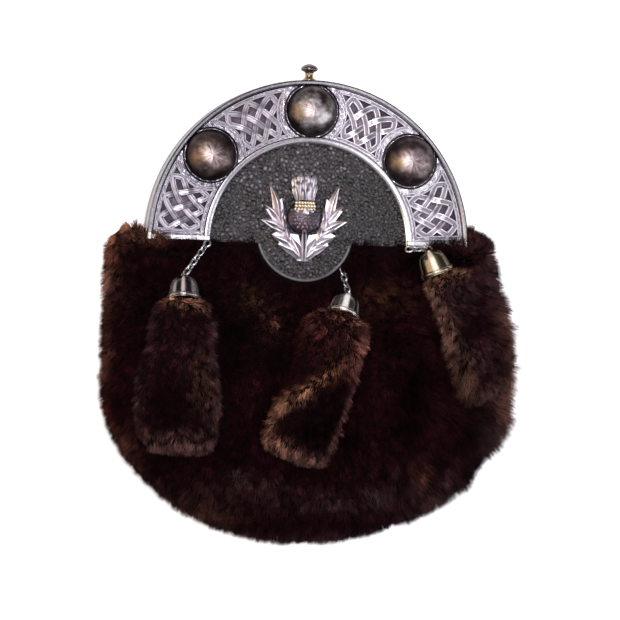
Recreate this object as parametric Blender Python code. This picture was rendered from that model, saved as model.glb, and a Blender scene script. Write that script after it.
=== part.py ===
"""A full-dress sporran pouch, lying on its back, front face up (+Z), cantle towards +Y.

Shapes are drawn in millimetres around the centre of the cantle's half ring. The empty
"cantle_centre" carries every part and stands off from the model's origin, which is the
middle of the back panel's flat rest face, on the floor plane.
"""
import math
import random

import bmesh
import bpy
from mathutils import Matrix, Vector

MM = 0.001
CANTLE_CENTRE_Y = 75.0          # from the origin, on the back's rest face
CLEARANCE = 0.3                 # between touching pieces

# Cantle: a cast half ring
RING_OUTER = 81.5
RING_INNER = 49.8
WALL_FOOT_Z = 9.8               # lower edge of the side wall
PLATE_BACK_Z = 22.3
PLATE_Z = 24.5
RIM_Z = 26.5
RING_STEPS = 24
END_BAR = 2.6
END_PROUD = 0.2
MIDDLE_RADIUS = 66.0            # circle through the dome centres
DOME_ANGLES = {"left": 140.0, "top": 90.0, "right": 40.0}
DOME_RADIUS = 12.9
DOME_HEIGHT = 9.5
BEZEL_INNER = 13.3
BEZEL_OUTER = 15.2
BEZEL_Z = 25.7
SEAT_DEPTH = 0.1                # a dome's seat is cut into the plate and the rim
LUGS = {"left": Vector((-51.4, -1.9, 24.2)), "right": Vector((51.4, -1.7, 25.3))}
LUG_RADIUS = 2.0                # of the wire's middle line

# Interlace relief: four panels of crossing bands, with sunk cells between them
PANEL_INNER = 53.6
PANEL_OUTER = 78.0
PANEL_COLUMNS = 4
PANEL_ROWS = 3
PANEL_END_ANGLE = 2.6
BEZEL_MARGIN = 16.2
CELL_HALF = 0.3                 # half diagonal of a sunk cell, in panel units
CELL_FLOOR_Z = 23.3

# Leather
BADGE_X = -2.4
TONGUE_X = -1.5
TONGUE_Y = 5.0
TONGUE_RADIUS = 24.5
TONGUE_BEND_Y = -9.0
TONGUE_RISE = 2.0
FRONT_RADIUS = 79.0
FRONT_BASE_Y = -1.0
FRONT_BASE_X = 45.8
FRONT_BACK_Z = 20.0
FRONT_Z = 22.0
BACK_THICKNESS = 2.2
BACK_RADIUS = 81.0
BACK_RAISE = 7.3                # the panel behind the cantle clears the belt loops
BACK_FLAT_Y = -38.0             # the flat rest face starts here
BACK_ARCH_Y = 4.0
BACK_EDGE_RISE = 4.6
BACK_EDGE_BAND = 14.0

# Belt loops
LOOP_X = 50.0
LOOP_WIDTH = 18.0
LOOP_LOW_Y = 8.0
LOOP_HIGH_Y = 52.0
LOOP_TAB = 8.0
LOOP_SLOPE = 4.0
LOOP_THICKNESS = 1.8

# Fur body: the base surface, under the locks
BODY_HALF_WIDTH = 99.5
BODY_RIGHT_SHOULDER = 92.5
BODY_DEPTH = 77.5               # from the widest line down to the lowest edge
WIDEST_Y = -70.0
SHOULDER_Y = -5.0
SHOULDER_RADIUS = 10.5
SHOULDER_RUN = 40.0
WIDEST_Z = 20.0
TOP_CROWN_Z = 23.0
BELLY_CROWN_Z = 44.5
CROWN_START_Y = -8.0
CROWN_RUN = 65.0
PELT_TOP = 7.5                  # hide and packed pile above the hollow
PELT_SIDE = 5.0
SEAM_INSET = 9.5
SEAM_GAP = 0.4
LOCK_HEIGHT = 4.6
LOCK_LEAN = 4.0
FACES_UP = -0.4                 # faces that look down more than this carry no lock
POLE = Vector((0.0, SHOULDER_Y + SHOULDER_RADIUS))
STATIONS = (0.0, 0.15, 0.28, 0.42, 0.56, 0.69, 0.80, 0.89, 0.955, 1.0)
UNDER_SIDE = (                  # inset from the outline, height above the seam
    {"inset": 1.2, "height": 7.9, "inner_inset": PELT_SIDE, "inner_height": 10.5},
    {"inset": 4.5, "height": 2.2, "inner_inset": 6.6, "inner_height": 7.4},
    {"inset": SEAM_INSET, "height": 0.0, "inner_inset": SEAM_INSET, "inner_height": 5.6},
)

# Tassels: cap mouth in plan, lean from straight down, and half widths down the length
TASSEL_DEPTH = 9.5              # half thickness
TASSEL_SINK = 1.5
TASSEL_DRAPE = 0.6
TASSEL_SIDES = 12
TASSEL_LOCK = 3.0
TASSEL_LEAN = 3.0
TASSEL_TIP = 4.0                # how far the loose end's middle stands out
TASSEL_ROOM = 0.8               # beyond its locks, in the fur that it lies in
TASSEL_UNDER = 0.5              # beneath it, on the fur
TASSELS = {
    "left": {"mouth": (-63.7, -30.7), "lean": -2.2, "widths": (
        {"down": 3.0, "left": 14.5, "right": 13.0},
        {"down": 22.0, "left": 17.5, "right": 14.5},
        {"down": 44.0, "left": 22.5, "right": 18.7},
        {"down": 62.0, "left": 21.0, "right": 18.7},
        {"down": 70.0, "left": 15.5, "right": 16.5})},
    "middle": {"mouth": (15.1, -36.9), "lean": -19.2, "widths": (
        {"down": 3.0, "left": 15.0, "right": 12.5},
        {"down": 16.0, "left": 19.0, "right": 15.5},
        {"down": 32.0, "left": 16.5, "right": 15.2},
        {"down": 54.0, "left": 18.5, "right": 17.2},
        {"down": 70.0, "left": 17.5, "right": 16.0})},
    "right": {"mouth": (65.3, -14.3), "lean": 22.2, "widths": (
        {"down": 3.0, "left": 8.5, "right": 15.5},
        {"down": 15.0, "left": 9.0, "right": 18.0},
        {"down": 30.0, "left": 10.5, "right": 19.0},
        {"down": 50.0, "left": 12.5, "right": 18.6},
        {"down": 61.0, "left": 12.5, "right": 14.0})},
}

# Bell caps and chains
CAP_HEIGHT = 12.5
CAP_RADIUS = 8.6
CAP_EYE_RADIUS = 1.9
CAP_RISE = 7.5                  # cap mouth's centre above the fur's base surface
EYE_RISE = 6.6
WIRE = 1.1
LINK_WIDTH = 3.9
LINK_OVERLAP = 0.2
LINK_ROLL = 45.0
CHAIN_GROOVE = 2.3
MIDDLE_CHAIN_START = Vector((17.6, -11.6, 21.6))
CHAINS = {
    "left": {"start": LUGS["left"], "links": 6, "roll": -LINK_ROLL, "on_lug": True},
    "middle": {"start": MIDDLE_CHAIN_START, "links": 4, "roll": -LINK_ROLL, "on_lug": False},
    "right": {"start": LUGS["right"], "links": 3, "roll": LINK_ROLL, "on_lug": True},
}

SILVER = {"colour": (0.72, 0.72, 0.75), "roughness": 0.28, "metallic": 1.0}
DOME_METAL = {"colour": (0.20, 0.15, 0.12), "roughness": 0.16, "metallic": 1.0}
KNOB_METAL = {"colour": (0.62, 0.55, 0.42), "roughness": 0.25, "metallic": 1.0}
BLACK_LEATHER = {"colour": (0.035, 0.036, 0.04), "roughness": 0.5, "metallic": 0.0}
BROWN_FUR = {"colour": (0.05, 0.022, 0.018), "roughness": 0.9, "metallic": 0.0}


# ---------------------------------------------------------------- scene helpers

def clear_scene():
    for obj in list(bpy.data.objects):
        bpy.data.objects.remove(obj, do_unlink=True)


def new_collection(name):
    collection = bpy.data.collections.new(name)
    bpy.context.scene.collection.children.link(collection)
    return collection


def finish_material(name, finish):
    material = bpy.data.materials.new(name)
    material.use_nodes = True
    shader = material.node_tree.nodes["Principled BSDF"]
    shader.inputs["Base Color"].default_value = (*finish["colour"], 1.0)
    shader.inputs["Roughness"].default_value = finish["roughness"]
    shader.inputs["Metallic"].default_value = finish["metallic"]
    return material


def mesh_object(name, shape, collection):
    """Turn a bmesh drawn in millimetres into an object of the assembly."""
    bmesh.ops.recalc_face_normals(shape, faces=shape.faces)
    mesh = bpy.data.meshes.new(name)
    shape.to_mesh(mesh)
    shape.free()
    mesh.transform(Matrix.Scale(MM, 4))
    obj = bpy.data.objects.new(name, mesh)
    collection.objects.link(obj)
    obj.parent = CENTRE
    return obj


def add_part(name, shape, finish):
    obj = mesh_object(name, shape, PARTS)
    obj.data.materials.append(finish_material(name, finish))
    return obj


def add_guide(name, shape):
    obj = mesh_object(name, shape, CUTTERS)
    obj.hide_render = True
    obj.display_type = "WIRE"
    return obj


def boolean(obj, guide, operation):
    modifier = obj.modifiers.new(guide.name, "BOOLEAN")
    modifier.operation = operation
    modifier.object = guide
    modifier.solver = "EXACT"


def fuse(obj, name, shape):
    boolean(obj, add_guide(name, shape), "UNION")


def cut(obj, name, shape):
    boolean(obj, add_guide(name, shape), "DIFFERENCE")


def drop_crumbs(obj):
    """Apply an object's cuts and keep the largest of the bodies that they leave."""
    depsgraph = bpy.context.evaluated_depsgraph_get()
    mesh = bpy.data.meshes.new_from_object(obj.evaluated_get(depsgraph))
    obj.modifiers.clear()
    obj.data = mesh
    shape = bmesh.new()
    shape.from_mesh(mesh)
    bodies = []
    unseen = set(shape.verts)
    while unseen:
        body = [unseen.pop()]
        for vert in body:
            linked = {edge.other_vert(vert) for edge in vert.link_edges} & unseen
            unseen -= linked
            body.extend(sorted(linked, key=lambda v: v.index))
        bodies.append(body)
    bodies.sort(key=len)
    for crumb in bodies[:-1]:
        bmesh.ops.delete(shape, geom=crumb, context="VERTS")
    shape.to_mesh(mesh)
    shape.free()


def smooth_shading(obj, angle=40.0):
    obj.data.shade_smooth()
    obj.data.set_sharp_from_angle(angle=math.radians(angle))


# ---------------------------------------------------------------- shape helpers

def ease(t):
    t = min(max(t, 0.0), 1.0)
    return t * t * (3.0 - 2.0 * t)


def blend(a, b, t):
    return a + (b - a) * t


def arc(centre, radius, start, end, steps):
    """Points on an arc in plan, from one angle to another in degrees."""
    turns = [math.radians(blend(start, end, i / steps)) for i in range(steps + 1)]
    return [Vector((centre[0] + radius * math.cos(t), centre[1] + radius * math.sin(t)))
            for t in turns]


def add_prism(shape, outline, low, high):
    """Extrude a flat outline from one height to another."""
    face = shape.faces.new([shape.verts.new((p[0], p[1], low)) for p in outline])
    grown = bmesh.ops.extrude_face_region(shape, geom=[face])
    top = [v for v in grown["geom"] if isinstance(v, bmesh.types.BMVert)]
    bmesh.ops.translate(shape, verts=top, vec=(0.0, 0.0, high - low))


def prism(outline, low, high):
    shape = bmesh.new()
    add_prism(shape, outline, low, high)
    return shape


def turned(profile, steps):
    """Turn a profile of (radius, height) points round Z; a closed profile makes a ring."""
    shape = bmesh.new()
    verts = [shape.verts.new((r, 0.0, z)) for r, z in profile]
    edges = [shape.edges.new(pair) for pair in zip(verts, verts[1:])]
    if min(r for r, _ in profile) > 0.0:
        edges.append(shape.edges.new((verts[-1], verts[0])))
    bmesh.ops.spin(shape, geom=verts + edges, cent=(0, 0, 0), axis=(0, 0, 1),
                   angle=math.tau, steps=steps, use_duplicate=False)
    bmesh.ops.remove_doubles(shape, verts=shape.verts, dist=0.001)
    return shape


def add_link(shape, length, width, wire, place, sides=10):
    """One oval link: a small torus whose halves are drawn apart along X."""
    bend = (width - wire) / 2
    stretch = (length - width) / 2
    ring = bmesh.new()
    turn = [math.tau * i / 5 for i in range(5)]
    verts = [ring.verts.new((bend + wire / 2 * math.cos(t), 0.0, wire / 2 * math.sin(t)))
             for t in turn]
    edges = [ring.edges.new((verts[i], verts[(i + 1) % 5])) for i in range(5)]
    bmesh.ops.rotate(ring, verts=verts, cent=(0, 0, 0),
                     matrix=Matrix.Rotation(math.pi / sides, 3, "Z"))
    bmesh.ops.spin(ring, geom=verts + edges, cent=(0, 0, 0), axis=(0, 0, 1),
                   angle=math.tau, steps=sides, use_duplicate=False)
    bmesh.ops.remove_doubles(ring, verts=ring.verts, dist=0.001)
    for vert in ring.verts:
        vert.co.x += math.copysign(stretch, vert.co.x)
    merge(shape, ring, place)


def merge(shape, piece, place=Matrix.Identity(4)):
    """Copy a piece into a shape, at a place, and free it."""
    mesh = bpy.data.meshes.new("piece")
    bmesh.ops.recalc_face_normals(piece, faces=piece.faces)
    piece.to_mesh(mesh)
    piece.free()
    mesh.transform(place)
    shape.from_mesh(mesh)
    bpy.data.meshes.remove(mesh)


def placed(piece, place):
    shape = bmesh.new()
    merge(shape, piece, place)
    return shape


def along(direction, roll=0.0):
    """A rotation that turns X to a direction, with Y kept level and then rolled."""
    x = direction.normalized()
    y = Vector((0, 0, 1)).cross(x).normalized()
    z = x.cross(y)
    turn = Matrix((x, y, z)).transposed().to_4x4()
    return turn @ Matrix.Rotation(math.radians(roll), 4, "X")


# ---------------------------------------------------------------- cantle

def ring_shape():
    """The half ring's metal section, swept half a turn and closed at both ends."""
    section = (
        (RING_OUTER, WALL_FOOT_Z), (RING_OUTER, RIM_Z - 0.9), (RING_OUTER - 0.6, RIM_Z),
        (79.6, RIM_Z), (78.8, PLATE_Z), (53.0, PLATE_Z), (52.4, 25.8), (50.6, 25.8),
        (RING_INNER, 24.9), (RING_INNER, PLATE_BACK_Z), (80.0, PLATE_BACK_Z),
        (80.0, WALL_FOOT_Z))
    shape = bmesh.new()
    verts = [shape.verts.new((r, 0.0, z)) for r, z in section]
    face = shape.faces.new(verts)
    bmesh.ops.spin(shape, geom=[face], cent=(0, 0, 0), axis=(0, 0, 1), angle=math.pi,
                   steps=RING_STEPS, use_duplicate=False)
    bmesh.ops.remove_doubles(shape, verts=shape.verts, dist=0.001)
    return shape


def ring_point(angle, radius):
    turn = math.radians(angle)
    return Vector((radius * math.cos(turn), radius * math.sin(turn)))


def trim_shape():
    """End bars and dome bezels, raised on the plate."""
    shape = bmesh.new()
    for side in (-1, 1):
        xs = sorted((side * (RING_INNER + 0.5), side * (RING_OUTER - 0.7)))
        corners = [(xs[0], -END_PROUD), (xs[1], -END_PROUD), (xs[1], END_BAR),
                   (xs[0], END_BAR)]
        add_prism(shape, corners, PLATE_Z - 1.2, 26.1)
    bezel = ((BEZEL_OUTER, PLATE_Z - 0.8), (BEZEL_OUTER, BEZEL_Z - 0.3),
             (BEZEL_OUTER - 0.5, BEZEL_Z), (BEZEL_INNER - 1.0, BEZEL_Z),
             (BEZEL_INNER - 1.0, PLATE_Z - 0.8))
    for angle in DOME_ANGLES.values():
        centre = ring_point(angle, MIDDLE_RADIUS)
        merge(shape, turned(bezel, 16), Matrix.Translation((*centre, 0.0)))
    return shape


def bezel_half_angle(radius):
    """Half the angle that a dome's bezel takes up on a circle of the ring."""
    reach = (radius ** 2 + MIDDLE_RADIUS ** 2 - BEZEL_MARGIN ** 2)
    return math.degrees(math.acos(reach / (2 * radius * MIDDLE_RADIUS)))


def panel_point(panel, u, v):
    """A point of an interlace panel; its ends hug the bezels or the end bar."""
    radius = blend(PANEL_INNER, PANEL_OUTER, v / PANEL_ROWS)
    curve = bezel_half_angle(radius)
    start = panel["start"] + (curve if panel["start_dome"] else PANEL_END_ANGLE)
    end = panel["end"] - (curve if panel["end_dome"] else PANEL_END_ANGLE)
    return ring_point(blend(start, end, u / PANEL_COLUMNS), radius)


def panels():
    stops = [0.0] + sorted(DOME_ANGLES.values()) + [180.0]
    return [{"start": a, "end": b, "start_dome": a > 0.0, "end_dome": b < 180.0}
            for a, b in zip(stops, stops[1:])]


def cell_corners(u, v):
    """Corners of the sunk cell round a lattice point, cut off at the panel's edge."""
    reach = ((CELL_HALF, 0.0), (0.0, CELL_HALF), (-CELL_HALF, 0.0), (0.0, -CELL_HALF))
    corners = [(u + du, v + dv) for du, dv in reach]
    return [(x, y) for x, y in corners if 0 <= x <= PANEL_COLUMNS and 0 <= y <= PANEL_ROWS]


def cells_shape():
    """The sunk cells of the interlace, as one cutter of many small prisms."""
    shape = bmesh.new()
    half_points = [(i / 2, j / 2) for i in range(2 * PANEL_COLUMNS + 1)
                   for j in range(2 * PANEL_ROWS + 1) if i % 2 == j % 2]
    for panel in panels():
        for u, v in half_points:
            corners = cell_corners(u, v)
            if len(corners) > 2:
                outline = [panel_point(panel, x, y) for x, y in corners]
                add_prism(shape, outline, CELL_FLOOR_Z, PLATE_Z + 0.6)
    return shape


def seats_shape():
    """The round seats of the domes, cut down through the bezels and the rim."""
    shape = bmesh.new()
    seat = ((0.0, PLATE_Z - SEAT_DEPTH), (BEZEL_INNER, PLATE_Z - SEAT_DEPTH),
            (BEZEL_INNER, RIM_Z + 1.0), (0.0, RIM_Z + 1.0))
    for angle in DOME_ANGLES.values():
        centre = ring_point(angle, MIDDLE_RADIUS)
        merge(shape, turned(seat, 16), Matrix.Translation((*centre, 0.0)))
    return shape


def lug_shape():
    """Two small eyes at the feet of the arms, each square to its chain's first link."""
    shape = bmesh.new()
    width = 2 * LUG_RADIUS + WIRE
    for name, centre in LUGS.items():
        run = chain_run(name)
        heading = along(run["heading"], -link_roll(name, 0))
        add_link(shape, width, width, WIRE, Matrix.Translation(centre) @ heading)
    return shape


def build_cantle():
    cantle = add_part("cantle", ring_shape(), SILVER)
    fuse(cantle, "cantle_trim", trim_shape())
    fuse(cantle, "cantle_lugs", lug_shape())
    cut(cantle, "cantle_cells", cells_shape())
    cut(cantle, "cantle_seats", seats_shape())


def build_domes():
    arcs = [math.radians(18.0 * i) for i in range(6)]
    profile = [(0.0, 0.0)] + [(DOME_RADIUS * math.cos(t), DOME_HEIGHT * math.sin(t))
                              for t in arcs]
    profile[-1] = (0.0, DOME_HEIGHT)
    for name, angle in DOME_ANGLES.items():
        centre = ring_point(angle, MIDDLE_RADIUS)
        place = Matrix.Translation((*centre, PLATE_Z - SEAT_DEPTH + CLEARANCE))
        dome = add_part("dome_" + name, placed(turned(profile, 18), place), DOME_METAL)
        smooth_shading(dome)


def build_knob():
    """The finial points along +Y, from the middle of the side wall."""
    profile = ((0.0, 0.0), (3.3, 0.0), (3.3, 0.7), (2.0, 1.2), (1.8, 3.2), (2.4, 3.8),
               (4.2, 4.3), (4.3, 6.4), (3.2, 7.8), (1.4, 8.4), (0.0, 8.5))
    place = Matrix.Translation((0.0, RING_OUTER + CLEARANCE, 15.0))
    knob = placed(turned(profile, 14), place @ Matrix.Rotation(-math.pi / 2, 4, "X"))
    smooth_shading(add_part("top_knob", knob, KNOB_METAL), 35.0)


# ---------------------------------------------------------------- leather and badge

def tongue_outline(grow=0.0):
    radius = TONGUE_RADIUS + grow
    drop = math.degrees(math.asin((TONGUE_Y - FRONT_BASE_Y) / TONGUE_RADIUS))
    return arc((TONGUE_X, TONGUE_Y), radius, -drop, drop - 180.0, 16)


def bend_tongue(shape):
    """Lift the tongue's tip, which lies on the fur, by slicing it and moving the slices."""
    for y in (TONGUE_BEND_Y, TONGUE_BEND_Y - 4.0, TONGUE_BEND_Y - 8.0):
        everything = shape.verts[:] + shape.edges[:] + shape.faces[:]
        bmesh.ops.bisect_plane(shape, geom=everything, plane_co=(0, y, 0),
                               plane_no=(0, 1, 0))
    tip_y = TONGUE_Y - TONGUE_RADIUS
    for vert in shape.verts:
        reach = (TONGUE_BEND_Y - vert.co.y) / (TONGUE_BEND_Y - tip_y)
        vert.co.z += TONGUE_RISE * max(reach, 0.0) ** 2
    return shape


def build_front_leather():
    arch = arc((0, 0), FRONT_RADIUS, 0.0, 180.0, RING_STEPS)
    steps = [Vector((-FRONT_BASE_X, 0.0)), Vector((-FRONT_BASE_X, FRONT_BASE_Y))]
    tongue = list(reversed(tongue_outline()))
    mirrored = [Vector((-p.x, p.y)) for p in reversed(steps)]
    outline = arch + steps + tongue + mirrored
    leather = bend_tongue(prism(outline, FRONT_BACK_Z, FRONT_Z))
    add_part("front_leather", leather, BLACK_LEATHER)


def loft_strip(rows):
    """A surface through rows of points, each row the same length."""
    shape = bmesh.new()
    grid = [[shape.verts.new(p) for p in row] for row in rows]
    for row, following in zip(grid, grid[1:]):
        for i in range(len(row) - 1):
            shape.faces.new((row[i], row[i + 1], following[i + 1], following[i]))
    return shape


def face_up(shape, sign):
    """Make an open surface face mostly up (+1) or down (-1)."""
    bmesh.ops.recalc_face_normals(shape, faces=shape.faces)
    if sum(face.normal.z * face.calc_area() for face in shape.faces) * sign < 0.0:
        bmesh.ops.reverse_faces(shape, faces=shape.faces)


def solid_leaf(side):
    """One serrated leaf: a ridged strip between its outer and inner edges."""
    stations = (                 # outer edge, raised rib, inner edge
        {"outer": (1.0, -9.3), "rib": (0.2, -8.6), "inner": (-0.6, -7.6)},
        {"outer": (6.6, -3.0), "rib": (4.0, -2.2), "inner": (0.6, 0.2)},
        {"outer": (14.4, 2.1), "rib": (8.0, 3.0), "inner": (5.0, 4.2)},
        {"outer": (12.4, 6.2), "rib": (10.4, 7.4), "inner": (8.6, 8.2)},
        {"outer": (22.3, 11.2), "rib": (12.4, 11.4), "inner": (9.6, 11.8)},
        {"outer": (15.6, 13.6), "rib": (13.2, 14.4), "inner": (9.2, 18.0)},
        {"outer": (20.2, 19.2), "rib": (14.6, 18.6), "inner": (12.2, 17.6)},
        {"outer": (16.8, 20.6), "rib": (15.6, 21.6), "inner": (13.4, 23.4)},
        {"outer": (18.0, 29.2), "rib": (17.8, 29.0), "inner": (17.5, 28.8)},
    )
    rows = []
    for station in stations:
        heights = {"outer": 1.4, "rib": 2.6, "inner": 1.6}
        rows.append([Vector((side * station[k][0], station[k][1], heights[k]))
                     for k in ("outer", "rib", "inner")])
    shape = loft_strip(rows)
    edges = [e for e in shape.edges if e.is_boundary]
    grown = bmesh.ops.extrude_edge_only(shape, edges=edges)
    low = [v for v in grown["geom"] if isinstance(v, bmesh.types.BMVert)]
    for vert in low:
        vert.co.z = 0.0
    bmesh.ops.holes_fill(shape, edges=[e for e in shape.edges if e.is_boundary])
    return shape


def petal(angle, reach):
    """One ridged spike of the crown tuft."""
    shape = bmesh.new()
    bmesh.ops.create_cone(shape, cap_ends=True, segments=5, radius1=2.1, radius2=0.5,
                          depth=reach)
    flat = Matrix.Diagonal((1.0, 1.0, 0.75, 1.0))
    upright = Matrix.Rotation(-math.pi / 2, 4, "X") @ Matrix.Translation((0, 0, reach / 2))
    place = flat @ Matrix.Rotation(math.radians(angle), 4, "Z") @ upright
    return placed(shape, place)


def build_badge():
    level = Matrix.Translation((BADGE_X, 0.0, FRONT_Z + CLEARANCE))
    badge = add_part("thistle_badge", placed(solid_leaf(-1), level), SILVER)
    fuse(badge, "badge_leaf", placed(solid_leaf(1), level))
    arcs = [math.radians(22.5 * i) for i in range(4)]
    dome = [(0.0, 0.0)] + [(8.6 * math.cos(t), 5.0 * math.sin(t)) for t in arcs]
    globe = turned(dome + [(0.0, 5.0)], 14)
    fuse(badge, "badge_globe", placed(globe, level @ Matrix.Translation((0.0, 12.9, 0.0))))
    band = turned(((0.0, 0.0), (5.4, 0.0), (5.0, 3.6), (0.0, 4.4)), 12)
    flat = Matrix.Translation((0.0, 20.6, 0.0)) @ Matrix.Diagonal((1.0, 0.5, 1.0, 1.0))
    fuse(badge, "badge_band", placed(band, level @ flat))
    stem = turned(((0.0, 0.0), (2.2, 0.0), (1.6, 2.3), (0.0, 2.8)), 8)
    lower = Matrix.Translation((0.0, -2.0, 0.0)) @ Matrix.Diagonal((0.8, 3.6, 1.0, 1.0))
    fuse(badge, "badge_stem", placed(stem, level @ lower))
    for number, angle in enumerate((-30.0, -15.0, 0.0, 15.0, 30.0)):
        root = Matrix.Translation((-0.09 * angle, 20.4, 1.65))
        fuse(badge, f"badge_petal_{number}", placed(petal(angle * 0.75, 12.4), level @ root))


# ---------------------------------------------------------------- fur body

def side_reach(y, side):
    """Half width of the fur's base surface beside the cantle and down to its widest."""
    if side < 0:
        return BODY_HALF_WIDTH
    return blend(BODY_RIGHT_SHOULDER, BODY_HALF_WIDTH, ease(-y / SHOULDER_RUN))


def body_half_width(y, side):
    """Half width of the base surface at any height in plan."""
    if y >= WIDEST_Y:
        return side_reach(y, side)
    drop = min((WIDEST_Y - y) / BODY_DEPTH, 1.0)
    return BODY_HALF_WIDTH * math.sqrt(1.0 - drop ** 2)


def half_outline(side):
    """The base outline from the shoulder's top to the lowest point, on one side."""
    reach = side_reach(SHOULDER_Y, side) - SHOULDER_RADIUS
    turn = (90.0, 180.0) if side < 0 else (90.0, 0.0)
    points = arc((side * reach, SHOULDER_Y), SHOULDER_RADIUS, *turn, 3)
    points += [Vector((side * side_reach(y, side), y)) for y in (-18.0, -31.0, -44.0, -57.0)]
    for step in range(11):
        t = math.radians(9.0 * step)
        points.append(Vector((side * BODY_HALF_WIDTH * math.cos(t),
                              WIDEST_Y - BODY_DEPTH * math.sin(t))))
    return points


def body_outline():
    return half_outline(-1) + list(reversed(half_outline(1)))[1:]


def reach_along(direction):
    """Distance from the pole to the base outline in one direction."""
    best = 1.0
    for a, b in zip(OUTLINE, OUTLINE[1:]):
        edge = b - a
        across = direction.x * edge.y - direction.y * edge.x
        if abs(across) < 1e-9:
            continue
        offset = a - POLE
        distance = (offset.x * edge.y - offset.y * edge.x) / across
        where = (offset.x * direction.y - offset.y * direction.x) / across
        if distance > 0.0 and -0.001 <= where <= 1.001:
            best = max(best, distance)
    return best


def crown_z(y):
    return blend(TOP_CROWN_Z, BELLY_CROWN_Z, ease((CROWN_START_Y - y) / CROWN_RUN))


def surface_z(y, station, thickness=0.0):
    """Height of the base surface at a share of the way from the pole to the outline."""
    rise = math.sqrt(max(1.0 - min(station, 1.0) ** 4, 0.0))
    return WIDEST_Z + (crown_z(y) - thickness - WIDEST_Z) * rise


def fur_z(x, y):
    """Height of the base surface at a point in plan."""
    offset = Vector((x, y)) - POLE
    length = max(offset.length, 0.001)
    return surface_z(y, length / reach_along(offset / length))


def back_z(y):
    """Underside of the back panel along its middle."""
    return BACK_RAISE * ease((y - BACK_FLAT_Y) / (BACK_ARCH_Y - BACK_FLAT_Y))


def back_edge_z(y):
    return blend(BACK_EDGE_RISE, BACK_RAISE, back_z(y) / BACK_RAISE)


def outer_row(point):
    """Points from the pole out to the rim and under to the seam, along one ray."""
    row = []
    for station in STATIONS:
        plan = POLE + (point - POLE) * station
        row.append(Vector((plan.x, plan.y, surface_z(plan.y, station))))
    for under in UNDER_SIDE:
        plan = point + inward_normal(point) * under["inset"]
        row.append(Vector((plan.x, plan.y, back_edge_z(plan.y) + under["height"])))
    return row


def inner_row(point):
    """The hollow's side of the same ray, from the pole to the seam."""
    rim = point + inward_normal(point) * PELT_SIDE
    row = []
    for station in STATIONS:
        plan = POLE + (rim - POLE) * station
        row.append(Vector((plan.x, plan.y, surface_z(plan.y, station, PELT_TOP))))
    for under in UNDER_SIDE:
        plan = point + inward_normal(point) * under["inner_inset"]
        row.append(Vector((plan.x, plan.y, back_edge_z(plan.y) + under["inner_height"])))
    return row


def inward_normal(point):
    """Unit normal of the base outline in plan, towards its inside."""
    if point.y > SHOULDER_Y:
        side = math.copysign(1.0, point.x)
        centre = Vector((side * (side_reach(SHOULDER_Y, side) - SHOULDER_RADIUS), SHOULDER_Y))
        return (centre - point).normalized()
    if point.y > WIDEST_Y:
        return Vector((-math.copysign(1.0, point.x), 0.0))
    slope = Vector((point.x / BODY_HALF_WIDTH ** 2, (point.y - WIDEST_Y) / BODY_DEPTH ** 2))
    return -slope.normalized()


def raise_locks(shape, faces, height, lean, heading):
    """Raise each face into a lock whose tip leans the way the hair lies."""
    centres = bmesh.ops.poke(shape, faces=faces, offset=0.0)["verts"]
    for vert in centres:
        vert.normal_update()
        size = DICE.uniform(0.7, 1.0)
        flow = heading(vert.co)
        flow -= vert.normal * flow.dot(vert.normal)
        if flow.length > 0.001:
            flow.normalize()
        vert.co += vert.normal * height * size + flow * lean * size


def body_heading(point):
    away = Vector((point.x, point.y - POLE.y, 0.0)).normalized()
    return away * 0.6 + Vector((0.0, -0.8, 0.0))


def pelt_shape():
    """The pelt's wall: outside and hollow lofted ray by ray, and closed at the top edge."""
    outer_rows = [outer_row(point) for point in OUTLINE]
    inner_rows = [inner_row(point) for point in OUTLINE]
    shape = loft_strip([o + i[::-1] for o, i in zip(outer_rows, inner_rows)])
    for o, i in ((outer_rows[0], inner_rows[0]), (outer_rows[-1], inner_rows[-1])):
        merge(shape, loft_strip([o, i]))
    bmesh.ops.remove_doubles(shape, verts=shape.verts, dist=0.001)
    bmesh.ops.recalc_face_normals(shape, faces=shape.faces)
    return shape


def on_outside(face):
    """Whether a face of the pelt's wall belongs to the furry side, above the under side."""
    centre = face.calc_center_median()
    offset = centre.xy - POLE
    share = offset.length / reach_along(offset.normalized())
    middle = surface_z(centre.y, min(share, 0.98), PELT_TOP / 2)
    return len(face.verts) == 4 and face.normal.z > FACES_UP and (
        centre.z > middle or share > 0.97)


def cantle_space():
    """What the fur leaves free round the cantle: a half disc cut right through."""
    radius = RING_OUTER + 0.5
    outline = arc((0, 0), radius, 0.0, 180.0, RING_STEPS)
    base = -END_PROUD - CLEARANCE
    outline += [Vector((-radius, base)), Vector((radius, base))]
    return prism(outline, -5.0, 70.0)


def tongue_space():
    outline = tongue_outline(0.5) + [Vector((-25.6, 4.0)), Vector((22.6, 4.0))]
    return bend_tongue(prism(outline, FRONT_BACK_Z - 0.4, 70.0))


def leather_base_space():
    """The fur stays below the leather's straight base, just under the cantle's line."""
    x = FRONT_BASE_X + 0.6
    outline = [(-x, 4.0), (x, 4.0), (x, FRONT_BASE_Y - 0.5), (-x, FRONT_BASE_Y - 0.5)]
    return prism(outline, FRONT_BACK_Z - 0.4, 70.0)


def lug_space(centre):
    ball = bmesh.new()
    bmesh.ops.create_icosphere(ball, subdivisions=1, radius=LUG_RADIUS + WIRE + 0.6)
    return placed(ball, Matrix.Translation(centre))


def under_tassel(point):
    """Whether a tassel or its cap covers a point in plan."""
    for tassel in TASSELS.values():
        offset = point.xy - Vector(tassel["mouth"])
        heading = tassel_heading(tassel)
        down = offset.dot(heading.xy)
        across = offset.dot(Vector((-heading.y, heading.x)))
        widest = tassel["widths"][2]
        if -CAP_HEIGHT < down < 0.0 and abs(across) < CAP_RADIUS:
            return True
        if 0.0 <= down < tassel["widths"][-1]["down"] and (
                -widest["left"] < across < widest["right"]):
            return True
    return False


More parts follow.
